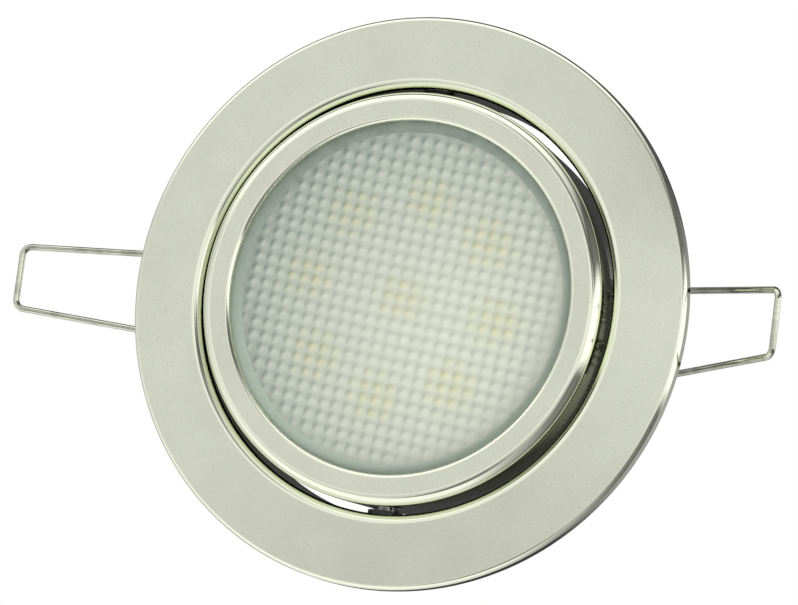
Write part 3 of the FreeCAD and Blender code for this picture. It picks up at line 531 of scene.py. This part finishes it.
def prism_glass(name, base, shade_colour, spot_colour):
    """Milky pressed glass, painted yellower over the light sources as their image seen through it,
    with painted shade in the prisms' flanks.
    """
    kit = Finish(name)
    stria = kit.noise(5.0, 4.0, 0.55)
    # Painted image of the light sources: the prisms over each of them tinted yellow
    tint = kit.mix(kit.mark("light_spot"), base, spot_colour)
    # Painted shade: greyer on flanks facing away from the key lamp, in the valleys and near the
    # rim
    tint = kit.mix(kit.mark("flank_shade"), tint, shade_colour)
    tint = kit.stained(tint, stria, (0.4, 0.7), 0.08, toned(base, 0.85))
    kit.let_through(0.50)
    relief = kit.bump(kit.noise(0.3, 2.0, 0.5), 0.002)
    return kit.finish(tint, kit.spread(stria, 0.16, 0.24), relief)


def frosted_glass(name, base):
    """Ground edge of the pressed glass: a fine sandy grain, with painted shade darker towards -Y
    and painted light lighter towards +Y.
    """
    kit = Finish(name)
    grain = kit.noise(0.25, 3.0, 0.7)
    # Painted light and shade: the frosted rim darker towards -Y and lighter towards +Y
    painted_light = kit.grade(kit.parts(kit.place)["Y"], *FROST_FADE)
    deep = kit.mix(painted_light, toned(base, 0.62), toned(base, 1.20))
    pale = kit.mix(painted_light, toned(base, 0.80), toned(base, 1.55))
    tint = kit.mix(kit.spread(grain, 0.0, 1.0), deep, pale)
    tint = kit.stained(tint, kit.noise(2.5, 3.0, 0.6), (0.4, 0.75), 0.4, toned(base, 1.3))
    kit.let_through(0.25)
    return kit.finish(tint, kit.spread(grain, 0.30, 0.50), kit.bump(grain, 0.01))


def circuit_board(name, base):
    """White solder mask over the board's copper, with a faint weave."""
    kit = Finish(name)
    weave = kit.noise(0.5, 2.0, 0.5, stretch=(1.0, 3.0, 1.0))
    copper = kit.grade(kit.noise(6.0, 1.0, 0.3), 0.56, 0.57)
    tint = kit.mix(kit.reckon("MULTIPLY", copper, 0.08), base, COPPER_UNDER_MASK)
    relief = kit.bump(weave, 0.006, kit.bump(copper, 0.03))
    return kit.finish(tint, kit.spread(weave, 0.32, 0.44), relief)


def phosphor_gel(name, base):
    """Yellow phosphor in clear silicone."""
    kit = Finish(name)
    grains = kit.noise(0.12, 3.0, 0.7)
    tint = kit.clouded(grains, base, 0.92, 1.05, NOISE_SPAN)
    tint = kit.stained(tint, kit.noise(0.9, 2.0, 0.5), (0.5, 0.8), 0.4, toned(base, 0.94))
    kit.shader.inputs["Coat Weight"].default_value = 0.6
    kit.shader.inputs["Coat Roughness"].default_value = 0.08
    return kit.finish(tint, kit.spread(grains, 0.35, 0.5), kit.bump(grains, 0.004))


# ---- mesh tools
def rounded_profile(corners, arc_step=ARC_STEP):
    """Points of a closed outline through (radius, height, round) corners."""
    count = len(corners)
    outline = []
    for index in range(count):
        here = Vector(corners[index][:2])
        before = (Vector(corners[index - 1][:2]) - here).normalized()
        after = (Vector(corners[(index + 1) % count][:2]) - here).normalized()
        size = corners[index][2]
        if size == 0:
            outline.append((here, False))
            continue
        half = before.angle(after) / 2
        reach = size / math.tan(half)
        middle = here + (before + after).normalized() * (size / math.sin(half))
        start = here + before * reach - middle
        end = here + after * reach - middle
        sweep = start.angle_signed(end)
        steps = max(FEWEST_ARC_STEPS, round(math.degrees(abs(sweep)) / arc_step))
        for step in range(steps + 1):
            turn = Matrix.Rotation(-sweep * step / steps, 2)
            outline.append((middle + turn @ start, True))
    return outline


def split_long(outline, longest):
    """Add points to straight stretches of an outline, so that faces stay even and true to
    their flats right up to the roundings."""
    points = []
    for index, (point, on_arc) in enumerate(outline):
        following = outline[(index + 1) % len(outline)][0]
        points.append((point, on_arc))
        run = (following - point).length
        if run < SHORT_RUN:
            continue
        guard = FLAT_GUARD / run
        pieces = math.ceil(run / longest)
        for along in (guard, *(step / pieces for step in range(1, pieces)), 1 - guard):
            points.append((point.lerp(following, along), False))
    return points


def new_piece(name, mesh_builder, finish, sharp=SHARP_ANGLE):
    """Object made from a bmesh, smooth shaded but for its sharp edges."""
    mesh = bpy.data.meshes.new(name)
    mesh_builder.to_mesh(mesh)
    mesh_builder.free()
    piece = bpy.data.objects.new(name, mesh)
    bpy.context.scene.collection.objects.link(piece)
    mesh.materials.append(finish)
    smooth_but_for(mesh, sharp)
    return piece


def smooth_but_for(mesh, sharp):
    """Shade a mesh smooth, but for edges sharper than this angle."""
    mesh.polygons.foreach_set("use_smooth", [True] * len(mesh.polygons))
    mesh.set_sharp_from_angle(angle=sharp)


def turned_mesh(outline):
    """Bmesh of an outline turned about the lamp's axis, its arcs marked for edge wear and, on
    polished nickel, a painted highlight.
    """
    builder = bmesh.new()
    wear_and_sheen = builder.faces.layers.float.new("worn_edge")
    rings = []
    for point, _ in outline:
        ring = []
        for step in range(TURNED_STEPS):
            angle = 2 * math.pi * step / TURNED_STEPS
            place = (point.x * math.cos(angle), point.x * math.sin(angle), point.y)
            ring.append(builder.verts.new(place))
        rings.append(ring)
    for index, ring in enumerate(rings):
        following = rings[(index + 1) % len(rings)]
        on_arc = outline[index][1] and outline[(index + 1) % len(outline)][1]
        for step in range(TURNED_STEPS):
            after = (step + 1) % TURNED_STEPS
            face = builder.faces.new((ring[step], ring[after], following[after], following[step]))
            face[wear_and_sheen] = 1.0 if on_arc else 0.0
    bmesh.ops.recalc_face_normals(builder, faces=builder.faces)
    return builder


def drilled(piece, holes):
    """Cut radial holes, each (angle in degrees, height, radius, from, to)."""
    for angle, height, radius, inner, outer in holes:
        tool_mesh = bmesh.new()
        bmesh.ops.create_cone(tool_mesh, cap_ends=True, segments=HOLE_STEPS, radius1=radius,
                              radius2=radius, depth=outer - inner)
        along = Matrix.Rotation(math.radians(90), 4, "Y")
        out = Matrix.Translation(((inner + outer) / 2, 0, height))
        turn = Matrix.Rotation(math.radians(angle), 4, "Z")
        tool_mesh.transform(turn @ out @ along)
        tool = new_piece("drill", tool_mesh, piece.data.materials[0])
        cut = piece.modifiers.new("hole", "BOOLEAN")
        cut.operation = "DIFFERENCE"
        cut.solver = "EXACT"
        cut.object = tool
        settle(piece)
        bpy.data.objects.remove(tool)
    return piece


def settle(piece):
    """Apply all modifiers of a piece to its mesh."""
    graph = bpy.context.evaluated_depsgraph_get()
    mesh = bpy.data.meshes.new_from_object(piece.evaluated_get(graph))
    piece.modifiers.clear()
    old = piece.data
    piece.data = mesh
    mesh.name = piece.name
    bpy.data.meshes.remove(old)


def soften(name, node, edge, finish):
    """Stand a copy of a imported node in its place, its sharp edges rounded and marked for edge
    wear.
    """
    builder = bmesh.new()
    builder.from_mesh(frame["nodes"][node].data)
    bmesh.ops.remove_doubles(builder, verts=builder.verts, dist=WELD)
    bmesh.ops.dissolve_limit(builder, angle_limit=FLAT_ANGLE, verts=builder.verts,
                             edges=builder.edges)
    piece = new_piece(name, builder, finish)
    piece.data.materials.append(finish)
    rounding = piece.modifiers.new("edges", "BEVEL")
    rounding.width = edge
    rounding.segments = 2
    rounding.limit_method = "ANGLE"
    rounding.angle_limit = SHARP_ANGLE
    rounding.material = 1
    settle(piece)
    mesh = piece.data
    marks = [float(face.material_index == 1) for face in mesh.polygons]
    wear_and_sheen = mesh.attributes.new("worn_edge", "FLOAT", "FACE")
    wear_and_sheen.data.foreach_set("value", marks)
    mesh.polygons.foreach_set("material_index", [0] * len(mesh.polygons))
    mesh.materials.pop(index=1)
    smooth_but_for(mesh, SOFTENED_ANGLE)
    stand_for(piece, node)


def stand_for(piece, node):
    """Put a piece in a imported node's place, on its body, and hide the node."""
    record = frame["record"]
    bodies = record["behaviour"]["bodies"]
    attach(piece, [body for body, nodes in bodies.items() if node in nodes][0])
    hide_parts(node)


def dress(node, finish):
    """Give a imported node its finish."""
    mesh = frame["nodes"][node].data
    mesh.materials.clear()
    mesh.materials.append(finish)


# ---- flange and lamp ring
def flange_outline(ring):
    rise = -TRIM_FRONT - ring.rim_depth
    neck_outer = NECK_BORE + ring.flange_wall
    inside = FLANGE_RADIUS - ring.flange_wall
    face_inner = NECK_BORE + ring.lip_round

    def face_height(radius):
        return -ring.rim_depth - rise * (FLANGE_RADIUS - radius) / (FLANGE_RADIUS - face_inner)

    return rounded_profile([
        (FLANGE_RADIUS, 0, 0),
        (FLANGE_RADIUS, -ring.rim_depth, ring.rim_round),
        (NECK_BORE, face_height(NECK_BORE), ring.lip_round),
        (NECK_BORE, NECK_TOP, ring.inner_round),
        (neck_outer, NECK_TOP, ring.inner_round),
        (neck_outer, face_height(neck_outer) + ring.flange_wall, ring.inner_round),
        (inside, face_height(inside) + ring.flange_wall, ring.inner_round),
        (inside, 0, 0),
    ])


def build_flange(ring, finish):
    outline = split_long(flange_outline(ring), LONGEST_FACE)
    piece = new_piece("flange_and_neck", turned_mesh(outline), finish)
    wall = (NECK_BORE - ring.flange_wall, NECK_BORE + 2 * ring.flange_wall)
    holes = [(side, PIVOT_HEIGHT, PIN_HOLE_RADIUS, *wall) for side in (90, -90)]
    holes += [(middle + side, RIVET_HEIGHT, RIVET_SHANK_RADIUS, *wall)
              for middle in (0, 180) for side in (-RIVET_ANGLE, RIVET_ANGLE)]
    stand_for(drilled(piece, holes), "trim_ring")


def build_lamp_ring(ring, finish):
    bore = GIMBAL_RADIUS - ring.gimbal_wall
    back = GIMBAL_RADIUS - ring.gimbal_taper
    seat = GIMBAL_FRONT + ring.gimbal_lip_depth
    outline = rounded_profile([
        (GIMBAL_LIP_RADIUS, GIMBAL_FRONT, ring.gimbal_lip_round),
        (GIMBAL_RADIUS, GIMBAL_FRONT, ring.gimbal_round),
        (GIMBAL_RADIUS, TRIM_FRONT, 0),
        (back, GIMBAL_BACK, 0),
        (bore, GIMBAL_BACK, 0),
        (bore, CIRCLIP_HIGH, 0),
        (CIRCLIP_OUTER, CIRCLIP_HIGH, 0),
        (CIRCLIP_OUTER, CIRCLIP_LOW, 0),
        (bore, CIRCLIP_LOW, 0),
        (bore, seat, 0),
        (GIMBAL_LIP_RADIUS, seat, 0),
    ])
    piece = new_piece("lamp_ring", turned_mesh(split_long(outline, LONGEST_FACE)), finish)
    wall = (bore - ring.gimbal_wall, GIMBAL_RADIUS + ring.gimbal_wall)
    holes = [(side, PIVOT_HEIGHT, BUSH_HOLE_RADIUS, *wall) for side in (90, -90)]
    stand_for(drilled(piece, holes), "gimbal_ring")


def build_foam(finish):
    """Foam ring that has swollen a little and unevenly between its cut faces."""
    swell = FOAM_SWELL
    outline = split_long(rounded_profile([
        (GASKET_INNER + swell, GASKET_BACK, 2 * swell),
        (GASKET_INNER + swell, GASKET_FRONT + 1.2 * swell, swell),
        (GASKET_OUTER - swell, GASKET_FRONT + 2.2 * swell, swell),
        (GASKET_OUTER - swell, GASKET_BACK, 2 * swell),
    ], FOAM_ARC_STEP), FOAM_FACE)
    builder = turned_mesh(outline)
    for vert in builder.verts:
        angle = math.atan2(vert.co.y, vert.co.x)
        waves = [math.sin(count * angle + slant * vert.co.z + start)
                 for count, slant, start in FOAM_WAVES]
        out = Vector((vert.co.x, vert.co.y, 0)).normalized()
        vert.co += out * sum(waves) * swell * FOAM_WAVE
    stand_for(new_piece("foam_gasket", builder, finish), "soffit_gasket")


# ---- lens
def prism_at(place, lens, along, aslant):
    """Middle of the prism at a place, and how far off it is each way, in shares of the pitch."""
    first = round(place.dot(along) / lens.pitch ** 2)
    second = round(place.dot(aslant) / lens.pitch ** 2)
    middle = along * first + aslant * second
    off = Vector(((place - middle).dot(along), (place - middle).dot(aslant))) / lens.pitch ** 2
    return middle, off


def dome_height(off):
    """Height of a domed prism, 1 on its top and 0 where four prisms meet."""
    across = math.cos(math.pi * off.x) ** 2
    along = math.cos(math.pi * off.y) ** 2
    return across * along / 2 + (across + along) / 4


def flank_shade(lens, middle, off, field):
    """Painted shade on the glass: on flanks that face the shaded side and in the valleys, more so
    near the rim.
    """
    out = middle.length / field
    side = 1 - SIDE_SHARE
    if out > 0:
        side += SIDE_SHARE * middle.normalized().dot(SHADED_SIDE)
    facing = Matrix.Rotation(-lens.turn, 2) @ SHADED_SIDE
    slope_a = math.sin(2 * math.pi * off.x) * (1 + 2 * math.cos(math.pi * off.y) ** 2) / 3
    slope_b = math.sin(2 * math.pi * off.y) * (1 + 2 * math.cos(math.pi * off.x) ** 2) / 3
    flank = FLANK_SHADE * max(0.0, slope_a * facing.x + slope_b * facing.y)
    flank += VALLEY_SHADE * (1 - dome_height(off))
    shade = out ** 3 * side * RIM_SHADE + flank * (MIDDLE_SHARE + RIM_SHARE * out * side)
    return min(1.0, shade)


def light_sources():
    """Middles of the light sources, taken from the fronts of their domes."""
    front = height_of("led_domes")[0] + DOME_TIP
    points = [vert.co for vert in frame["nodes"]["led_domes"].data.vertices if vert.co.z < front]
    rounded = {(round(point.x, 3), round(point.y, 3)) for point in points}
    return [Vector(spot) for spot in sorted(rounded)]


def press_prisms(builder, lens, field):
    """Rows of small domes on a gently crowned face, cut off round at the field's radius."""
    shade = builder.verts.layers.float.new("flank_shade")
    spot = builder.verts.layers.float.new("light_spot")
    along = Vector((math.cos(lens.turn), math.sin(lens.turn))) * lens.pitch
    aslant = along.orthogonal()
    step_a = along / lens.divisions
    step_b = aslant / lens.divisions
    whole = field - lens.pitch / 2
    sources = light_sources()
    verts = {}

    def place_of(first, second):
        return step_a * first + step_b * second

    def vert_at(first, second):
        key = (first, second)
        if key not in verts:
            place = place_of(first, second)
            middle, off = prism_at(place, lens, along, aslant)
            rise = lens.rise * dome_height(off) if middle.length <= whole else 0.0
            if place.length > field:
                place = place.normalized() * field
                rise = 0.0
            crown = lens.crown * (1 - (place.length / field) ** 2)
            vert = builder.verts.new((place.x, place.y, LENS_FRONT - crown - rise))
            # Painted shade of the prisms, carried on each point
            vert[shade] = flank_shade(lens, middle, off, field)
            # Painted image of the nearest light source, strongest on the dome tops
            nearest = min((middle - source).length for source in sources) / lens.spot_radius
            vert[spot] = max(0.0, 1 - nearest ** 2) * dome_height(off)
            verts[key] = vert
        return verts[key]

    reach = math.ceil(field / step_a.length) + 1
    for first in range(-reach, reach):
        for second in range(-reach, reach):
            for corners in (((0, 0), (1, 0), (0, 1)), ((1, 0), (1, 1), (0, 1))):
                spots = [(first + a, second + b) for a, b in corners]
                if any(place_of(*one).length < field for one in spots):
                    builder.faces.new([vert_at(*one) for one in spots])
    bmesh.ops.remove_doubles(builder, verts=builder.verts, dist=WELD)


def close_lens(builder, field):
    """Frosted border, side and back of the lens, ring by ring from the edge of the prisms."""
    edges = [edge for edge in builder.edges if len(edge.link_faces) == 1]
    border = {vert for edge in edges for vert in edge.verts}
    ring = sorted(border, key=lambda vert: math.atan2(vert.co.y, vert.co.x))
    inside = LENS_RADIUS - LENS_CORNER
    places = [(GIMBAL_LIP_RADIUS, LENS_FRONT), (inside, LENS_FRONT),
              (LENS_RADIUS, LENS_FRONT + LENS_CORNER), (LENS_RADIUS, LENS_BACK - LENS_CORNER),
              (inside, LENS_BACK), (GIMBAL_LIP_RADIUS, LENS_BACK)]
    places += [(field * share_out, LENS_BACK) for share_out in LENS_BACK_RINGS]
    for radius, height in places:
        following = []
        for vert in ring:
            flat = vert.co.xy.normalized() * radius
            following.append(builder.verts.new((flat.x, flat.y, height), vert))
        for index, vert in enumerate(ring):
            corners = (ring[index - 1], vert, following[index], following[index - 1])
            builder.faces.new(corners).material_index = 1 if height == LENS_FRONT else 0
        ring = following
    builder.faces.new(ring)
    bmesh.ops.recalc_face_normals(builder, faces=builder.faces)


def build_lens(lens, finish, rim_finish):
    """Pressed lens: prisms in the middle, inside a frosted border."""
    field = GIMBAL_LIP_RADIUS - lens.border
    builder = bmesh.new()
    press_prisms(builder, lens, field)
    close_lens(builder, field)
    piece = new_piece("prism_lens", builder, finish, sharp=PRISM_ANGLE)
    piece.data.materials.append(rim_finish)
    stand_for(piece, "lens")


# ---- studio
class Room(Nodes):
    """The world that surrounds the fitting."""

    def __init__(self, name):
        self.world = bpy.data.worlds.new(name)
        super().__init__(self.world)
        self.x, self.y, self.z = self.parts(self.node("TexCoord").outputs["Generated"])
        turn = self.reckon("ARCTAN2", self.y, self.x)
        self.azimuth = self.reckon("ADD", self.reckon("DIVIDE", turn, 2 * math.pi), 0.5)

    def fade(self, value, edge, levels=(0.0, 1.0)):
        """Smooth change from one level to the other as the value crosses the edge."""
        node = self.node("MapRange", value, *edge, *levels, interpolation_type="SMOOTHSTEP")
        return node.outputs[0]

    def blend(self, amount, first, second):
        """Blend of two brightnesses."""
        return self.node("Mix", amount, MIX_EVEN, first, second).outputs[0]

    def round_about(self, panels):
        """Brightness by direction round the fitting."""
        node = self.node("ValToRGB", self.azimuth)
        ramp = node.color_ramp
        ramp.elements.remove(ramp.elements[1])
        for index, (degrees, level) in enumerate(panels):
            share_round = degrees / 360 + 0.5
            stop = ramp.elements[0] if index == 0 else ramp.elements.new(share_round)
            stop.position = share_round
            stop.color = (level, level, level, 1)
        return node.outputs["Color"]

    def seen_in_metal(self):
        """White card below, skirting, dado, walls, their tops, and a ceiling dark over -X."""
        card = self.fade(self.y, CARD_FADE, CARD_LEVELS)
        left = self.reckon("MAXIMUM", self.reckon("SUBTRACT", -SLOPE_START, self.x), 0.0)
        back = self.reckon("MAXIMUM", self.reckon("SUBTRACT", self.y, SLOPE_START), 0.0)
        edge = self.reckon("SUBTRACT", self.z, self.reckon("MULTIPLY", left, SLOPE_LEFT))
        edge = self.reckon("SUBTRACT", edge, self.reckon("MULTIPLY", back, SLOPE_BACK))
        low = self.blend(self.fade(self.z, CARD_EDGE), card, self.round_about(ROOM_SKIRTING))
        low = self.blend(self.fade(edge, SKIRTING_EDGE), low, self.round_about(ROOM_DADO))
        walls = self.blend(self.fade(self.z, WALL_EDGE), self.round_about(ROOM_WALLS),
                           self.round_about(ROOM_TOPS))
        whole = self.blend(self.fade(self.z, DADO_EDGE), low, walls)
        ceiling = self.fade(self.x, CEILING_FADE, CEILING_LEVELS)
        return self.blend(self.fade(self.z, TOPS_EDGE), whole, ceiling)


def studio_world(studio):
    """White to the camera and through glass, the room in gloss, plain on matt surfaces."""
    room = Room("studio_room")
    rays = room.node("LightPath").outputs
    plain = room.blend(rays["Is Glossy Ray"], studio.room_light, room.seen_in_metal())
    clear = room.reckon("MAXIMUM", rays["Is Camera Ray"], rays["Is Transmission Ray"])
    background = room.node("Background", room.blend(clear, plain, 1.0))
    room.node("OutputWorld", background.outputs[0])
    bpy.context.scene.world = room.world


def soft_lamp(name, direction, distance, side, power):
    """Square soft lamp that faces the fitting and isn't mirrored in it."""
    data = bpy.data.lights.new(name, "AREA")
    data.shape = "SQUARE"
    data.size = side
    data.energy = power
    lamp = bpy.data.objects.new(name, data)
    bpy.context.scene.collection.objects.link(lamp)
    way = Vector(direction).normalized()
    lamp.visible_glossy = False
    lamp.location = way * distance
    lamp.rotation_euler = way.to_track_quat("Z", "Y").to_euler()


def build_floor(studio):
    """Plain pale floor, wide enough that its edges stay out of the way."""
    builder = bmesh.new()
    places = [-FLOOR_HALF + 2 * FLOOR_HALF * step / FLOOR_STEPS for step in range(FLOOR_STEPS + 1)]
    rows = [[builder.verts.new((x, y, -studio.floor_drop)) for y in places] for x in places]
    for first, second in zip(rows, rows[1:]):
        for index in range(FLOOR_STEPS):
            builder.faces.new((first[index], second[index], second[index + 1], first[index + 1]))
    bmesh.ops.recalc_face_normals(builder, faces=builder.faces)
    kit = Finish("pale_floor")
    cloud = kit.noise(180.0, 3.0, 0.5)
    tint = kit.mix(cloud, toned(studio.floor_colour, 0.985), studio.floor_colour)
    kit.finish(tint, FLOOR_ROUGHNESS, kit.bump(kit.noise(4.0, 2.0, 0.5), 0.05))
    rays = kit.node("LightPath").outputs
    seen = kit.reckon("MULTIPLY", rays["Is Camera Ray"], FLOOR_GLOW)
    white = kit.reckon("MAXIMUM", seen, rays["Is Transmission Ray"])
    glow = kit.node("Emission").outputs[0]
    choose = kit.node("MixShader", white, kit.shader.outputs["BSDF"], glow)
    kit.join(choose.outputs[0], kit.output.inputs["Surface"])
    floor = new_piece("studio_floor", builder, kit.material)
    floor.visible_glossy = False


def place_camera(studio):
    """Camera at the picture's viewing angle: below the fitting, looking up."""
    towards = Vector(CAMERA_WAY).normalized()
    up = towards.cross(Vector(CAMERA_RIGHT).normalized()).normalized()
    right = up.cross(towards).normalized()
    data = bpy.data.cameras.new("picture_view")
    data.sensor_width = FILM_WIDTH
    data.lens = FILM_WIDTH * studio.focal_pixels / IMAGE_WIDTH
    data.shift_x = -(FRONT_PIXEL[0] - IMAGE_WIDTH / 2) / IMAGE_WIDTH
    data.shift_y = (FRONT_PIXEL[1] - IMAGE_HEIGHT / 2) / IMAGE_WIDTH
    data.clip_start, data.clip_end = CAMERA_RANGE
    camera = bpy.data.objects.new("picture_view", data)
    bpy.context.scene.collection.objects.link(camera)
    turn = Matrix((right, up, towards)).transposed().to_4x4()
    place = Vector((0, 0, FRONT_HEIGHT)) + towards * studio.distance
    camera.matrix_world = Matrix.Translation(place) @ turn
    bpy.context.scene.camera = camera


# ---- operators
class DOWNLIGHT_OT_rings(Operator):
    """Turn and polish the flange and the tilting lamp ring."""
    bl_idname = "downlight.rings"
    bl_label = "Flange and Lamp Ring"

    def execute(self, context):
        ring = context.scene.downlight_rings
        nickel = polished_nickel("polished_nickel", ring.nickel, ring.polish)
        build_flange(ring, nickel)
        build_lamp_ring(ring, nickel)
        return {"FINISHED"}


class DOWNLIGHT_OT_soffit_gasket(Operator):
    """Lay the foam gasket behind the flange."""
    bl_idname = "downlight.soffit_gasket"
    bl_label = "Soffit Gasket"

    def execute(self, context):
        build_foam(closed_cell_foam("closed_cell_foam", context.scene.downlight_back.foam))
        return {"FINISHED"}


class DOWNLIGHT_OT_lens(Operator):
    """Press the prism lens and seat it on its gasket."""
    bl_idname = "downlight.lens"
    bl_label = "Lens"

    def execute(self, context):
        lens = context.scene.downlight_lens
        glass = prism_glass("prism_glass", lens.glass, lens.shade, lens.spot)
        build_lens(lens, glass, frosted_glass("frosted_glass", lens.frost))
        dress("lens_gasket", soft_rubber("clear_silicone", CLEAR_SILICONE, roughness=0.4))
        return {"FINISHED"}


class DOWNLIGHT_OT_lamp(Operator):
    """Finish the reflector, the board and its light sources."""
    bl_idname = "downlight.lamp"
    bl_label = "Lamp Board and Reflector"

    def execute(self, context):
        lamp = context.scene.downlight_lamp
        # Reflector coloured dark grey as painted shade seen through the lens rim
        dress("reflector_ring", moulded_plastic("reflector_satin", lamp.reflector, roughness=0.25))
        dress("led_board", circuit_board("white_solder_mask", lamp.board))
        dress("thermal_pad", soft_rubber("thermal_pad_grey", PAD_GREY, roughness=0.7))
        dress("led_emitters", moulded_plastic("emitter_body", lamp.body, roughness=0.4))
        dress("led_domes", phosphor_gel("yellow_phosphor", lamp.phosphor))
        dress("board_screws", turned_steel("screw_steel", SCREW_STEEL))
        return {"FINISHED"}


class DOWNLIGHT_OT_heatsink(Operator):
    """Cast the heatsink and spring in its retaining ring."""
    bl_idname = "downlight.heatsink"
    bl_label = "Heatsink"

    def execute(self, context):
        back = context.scene.downlight_back
        casting = cast_aluminium("cast_aluminium", back.casting)
        black = phosphated_steel("phosphated_spring_steel")
        soften("finned_heatsink", "heatsink", back.casting_edge, casting)
        soften("circlip", "retaining_ring", back.stamping_edge, black)
        return {"FINISHED"}


class DOWNLIGHT_OT_gland(Operator):
    """Mould the cable gland and fit its seal."""
    bl_idname = "downlight.gland"
    bl_label = "Cable Gland"

    def execute(self, context):
        back = context.scene.downlight_back
        nylon = moulded_plastic("gland_nylon", back.nylon, roughness=0.42, grain_depth=0.012)
        soften("gland_hexagon", "gland_body", back.moulding_edge, nylon)
        soften("gland_cap_nut", "gland_nut", back.moulding_edge, nylon)
        dress("gland_seal", soft_rubber("seal_rubber", SEAL_BLACK, roughness=0.6))
        return {"FINISHED"}


class DOWNLIGHT_OT_clips(Operator):
    """Finish the sprung wire clips, their brackets, pins and rivets."""
    bl_idname = "downlight.clips"
    bl_label = "Spring Clips"

    def execute(self, context):
        back = context.scene.downlight_back
        zinc = zinc_plate("zinc_plated_steel", back.zinc)
        wire = drawn_wire("drawn_spring_wire", back.wire)
        steel = turned_steel("clip_pin_steel", CLIP_PIN_STEEL)
        for side in ("left", "right"):
            soften("stamped_bracket_" + side, "clip_bracket_" + side, back.stamping_edge, zinc)
            dress("spring_clip_" + side, wire)
            dress("clip_pin_" + side, steel)
        dress("bracket_rivets", turned_steel("rivet_aluminium", RIVET_ALUMINIUM, roughness=0.4))
        return {"FINISHED"}


class DOWNLIGHT_OT_pivots(Operator):
    """Finish the two tilt hinges: pins, washers, clips and bushes."""
    bl_idname = "downlight.pivots"
    bl_label = "Tilt Hinges"

    def execute(self, context):
        dress("pivot_pins", turned_steel("pivot_pin_steel", PIVOT_PIN_STEEL, roughness=0.22))
        dress("pivot_washers", phosphated_steel("black_washer_steel"))
        dress("pivot_clips", turned_steel("push_on_clip_steel", PUSH_ON_STEEL, roughness=0.34))
        dress("pivot_bushes", moulded_plastic("bush_nylon", BUSH_NYLON, roughness=0.4))
        return {"FINISHED"}


class DOWNLIGHT_OT_studio(Operator):
    """Set up the plain floor, the soft light and the camera."""
    bl_idname = "downlight.studio"
    bl_label = "Studio"

    def execute(self, context):
        studio = context.scene.downlight_studio
        studio_world(studio)
        build_floor(studio)
        for lamp in LAMPS:
            soft_lamp(*lamp)
        place_camera(studio)
        context.scene.view_settings.view_transform = "Standard"
        return {"FINISHED"}


class DOWNLIGHT_PT_builder(Panel):
    """Sidebar list of all the pieces."""
    bl_idname = "DOWNLIGHT_PT_builder"
    bl_label = "Soffit Downlight"
    bl_space_type = "VIEW_3D"
    bl_region_type = "UI"
    bl_category = "Downlight"

    def draw(self, context):
        for group, settings, operators in GROUPS:
            box = self.layout.box()
            for name in settings.__annotations__:
                box.prop(getattr(context.scene, group), name)
            for operator in operators:
                box.operator(operator.bl_idname)


GROUPS = (
    ("downlight_rings", RingSettings, (DOWNLIGHT_OT_rings,)),
    ("downlight_lens", LensSettings, (DOWNLIGHT_OT_lens,)),
    ("downlight_lamp", LampSettings, (DOWNLIGHT_OT_lamp,)),
    ("downlight_back", BackSettings, (DOWNLIGHT_OT_soffit_gasket, DOWNLIGHT_OT_clips,
                                      DOWNLIGHT_OT_pivots, DOWNLIGHT_OT_heatsink,
                                      DOWNLIGHT_OT_gland)),
    ("downlight_studio", StudioSettings, (DOWNLIGHT_OT_studio,)),
)


def register():
    for group, settings, operators in GROUPS:
        bpy.utils.register_class(settings)
        setattr(bpy.types.Scene, group, PointerProperty(type=settings))
        for operator in operators:
            bpy.utils.register_class(operator)
    bpy.utils.register_class(DOWNLIGHT_PT_builder)


def unregister():
    bpy.utils.unregister_class(DOWNLIGHT_PT_builder)
    for group, settings, operators in reversed(GROUPS):
        for operator in reversed(operators):
            bpy.utils.unregister_class(operator)
        delattr(bpy.types.Scene, group)
        bpy.utils.unregister_class(settings)


def main():
    register()
    for left_over in ("Cube", "Light", "Camera"):
        if left_over in bpy.data.objects:
            bpy.data.objects.remove(bpy.data.objects[left_over])
    bpy.ops.downlight.rings()
    bpy.ops.downlight.soffit_gasket()
    bpy.ops.downlight.lens()
    bpy.ops.downlight.lamp()
    bpy.ops.downlight.heatsink()
    bpy.ops.downlight.gland()
    bpy.ops.downlight.clips()
    bpy.ops.downlight.pivots()
    bpy.ops.downlight.studio()
    bpy.context.view_layer.update()


if __name__ == "__main__":
    main()
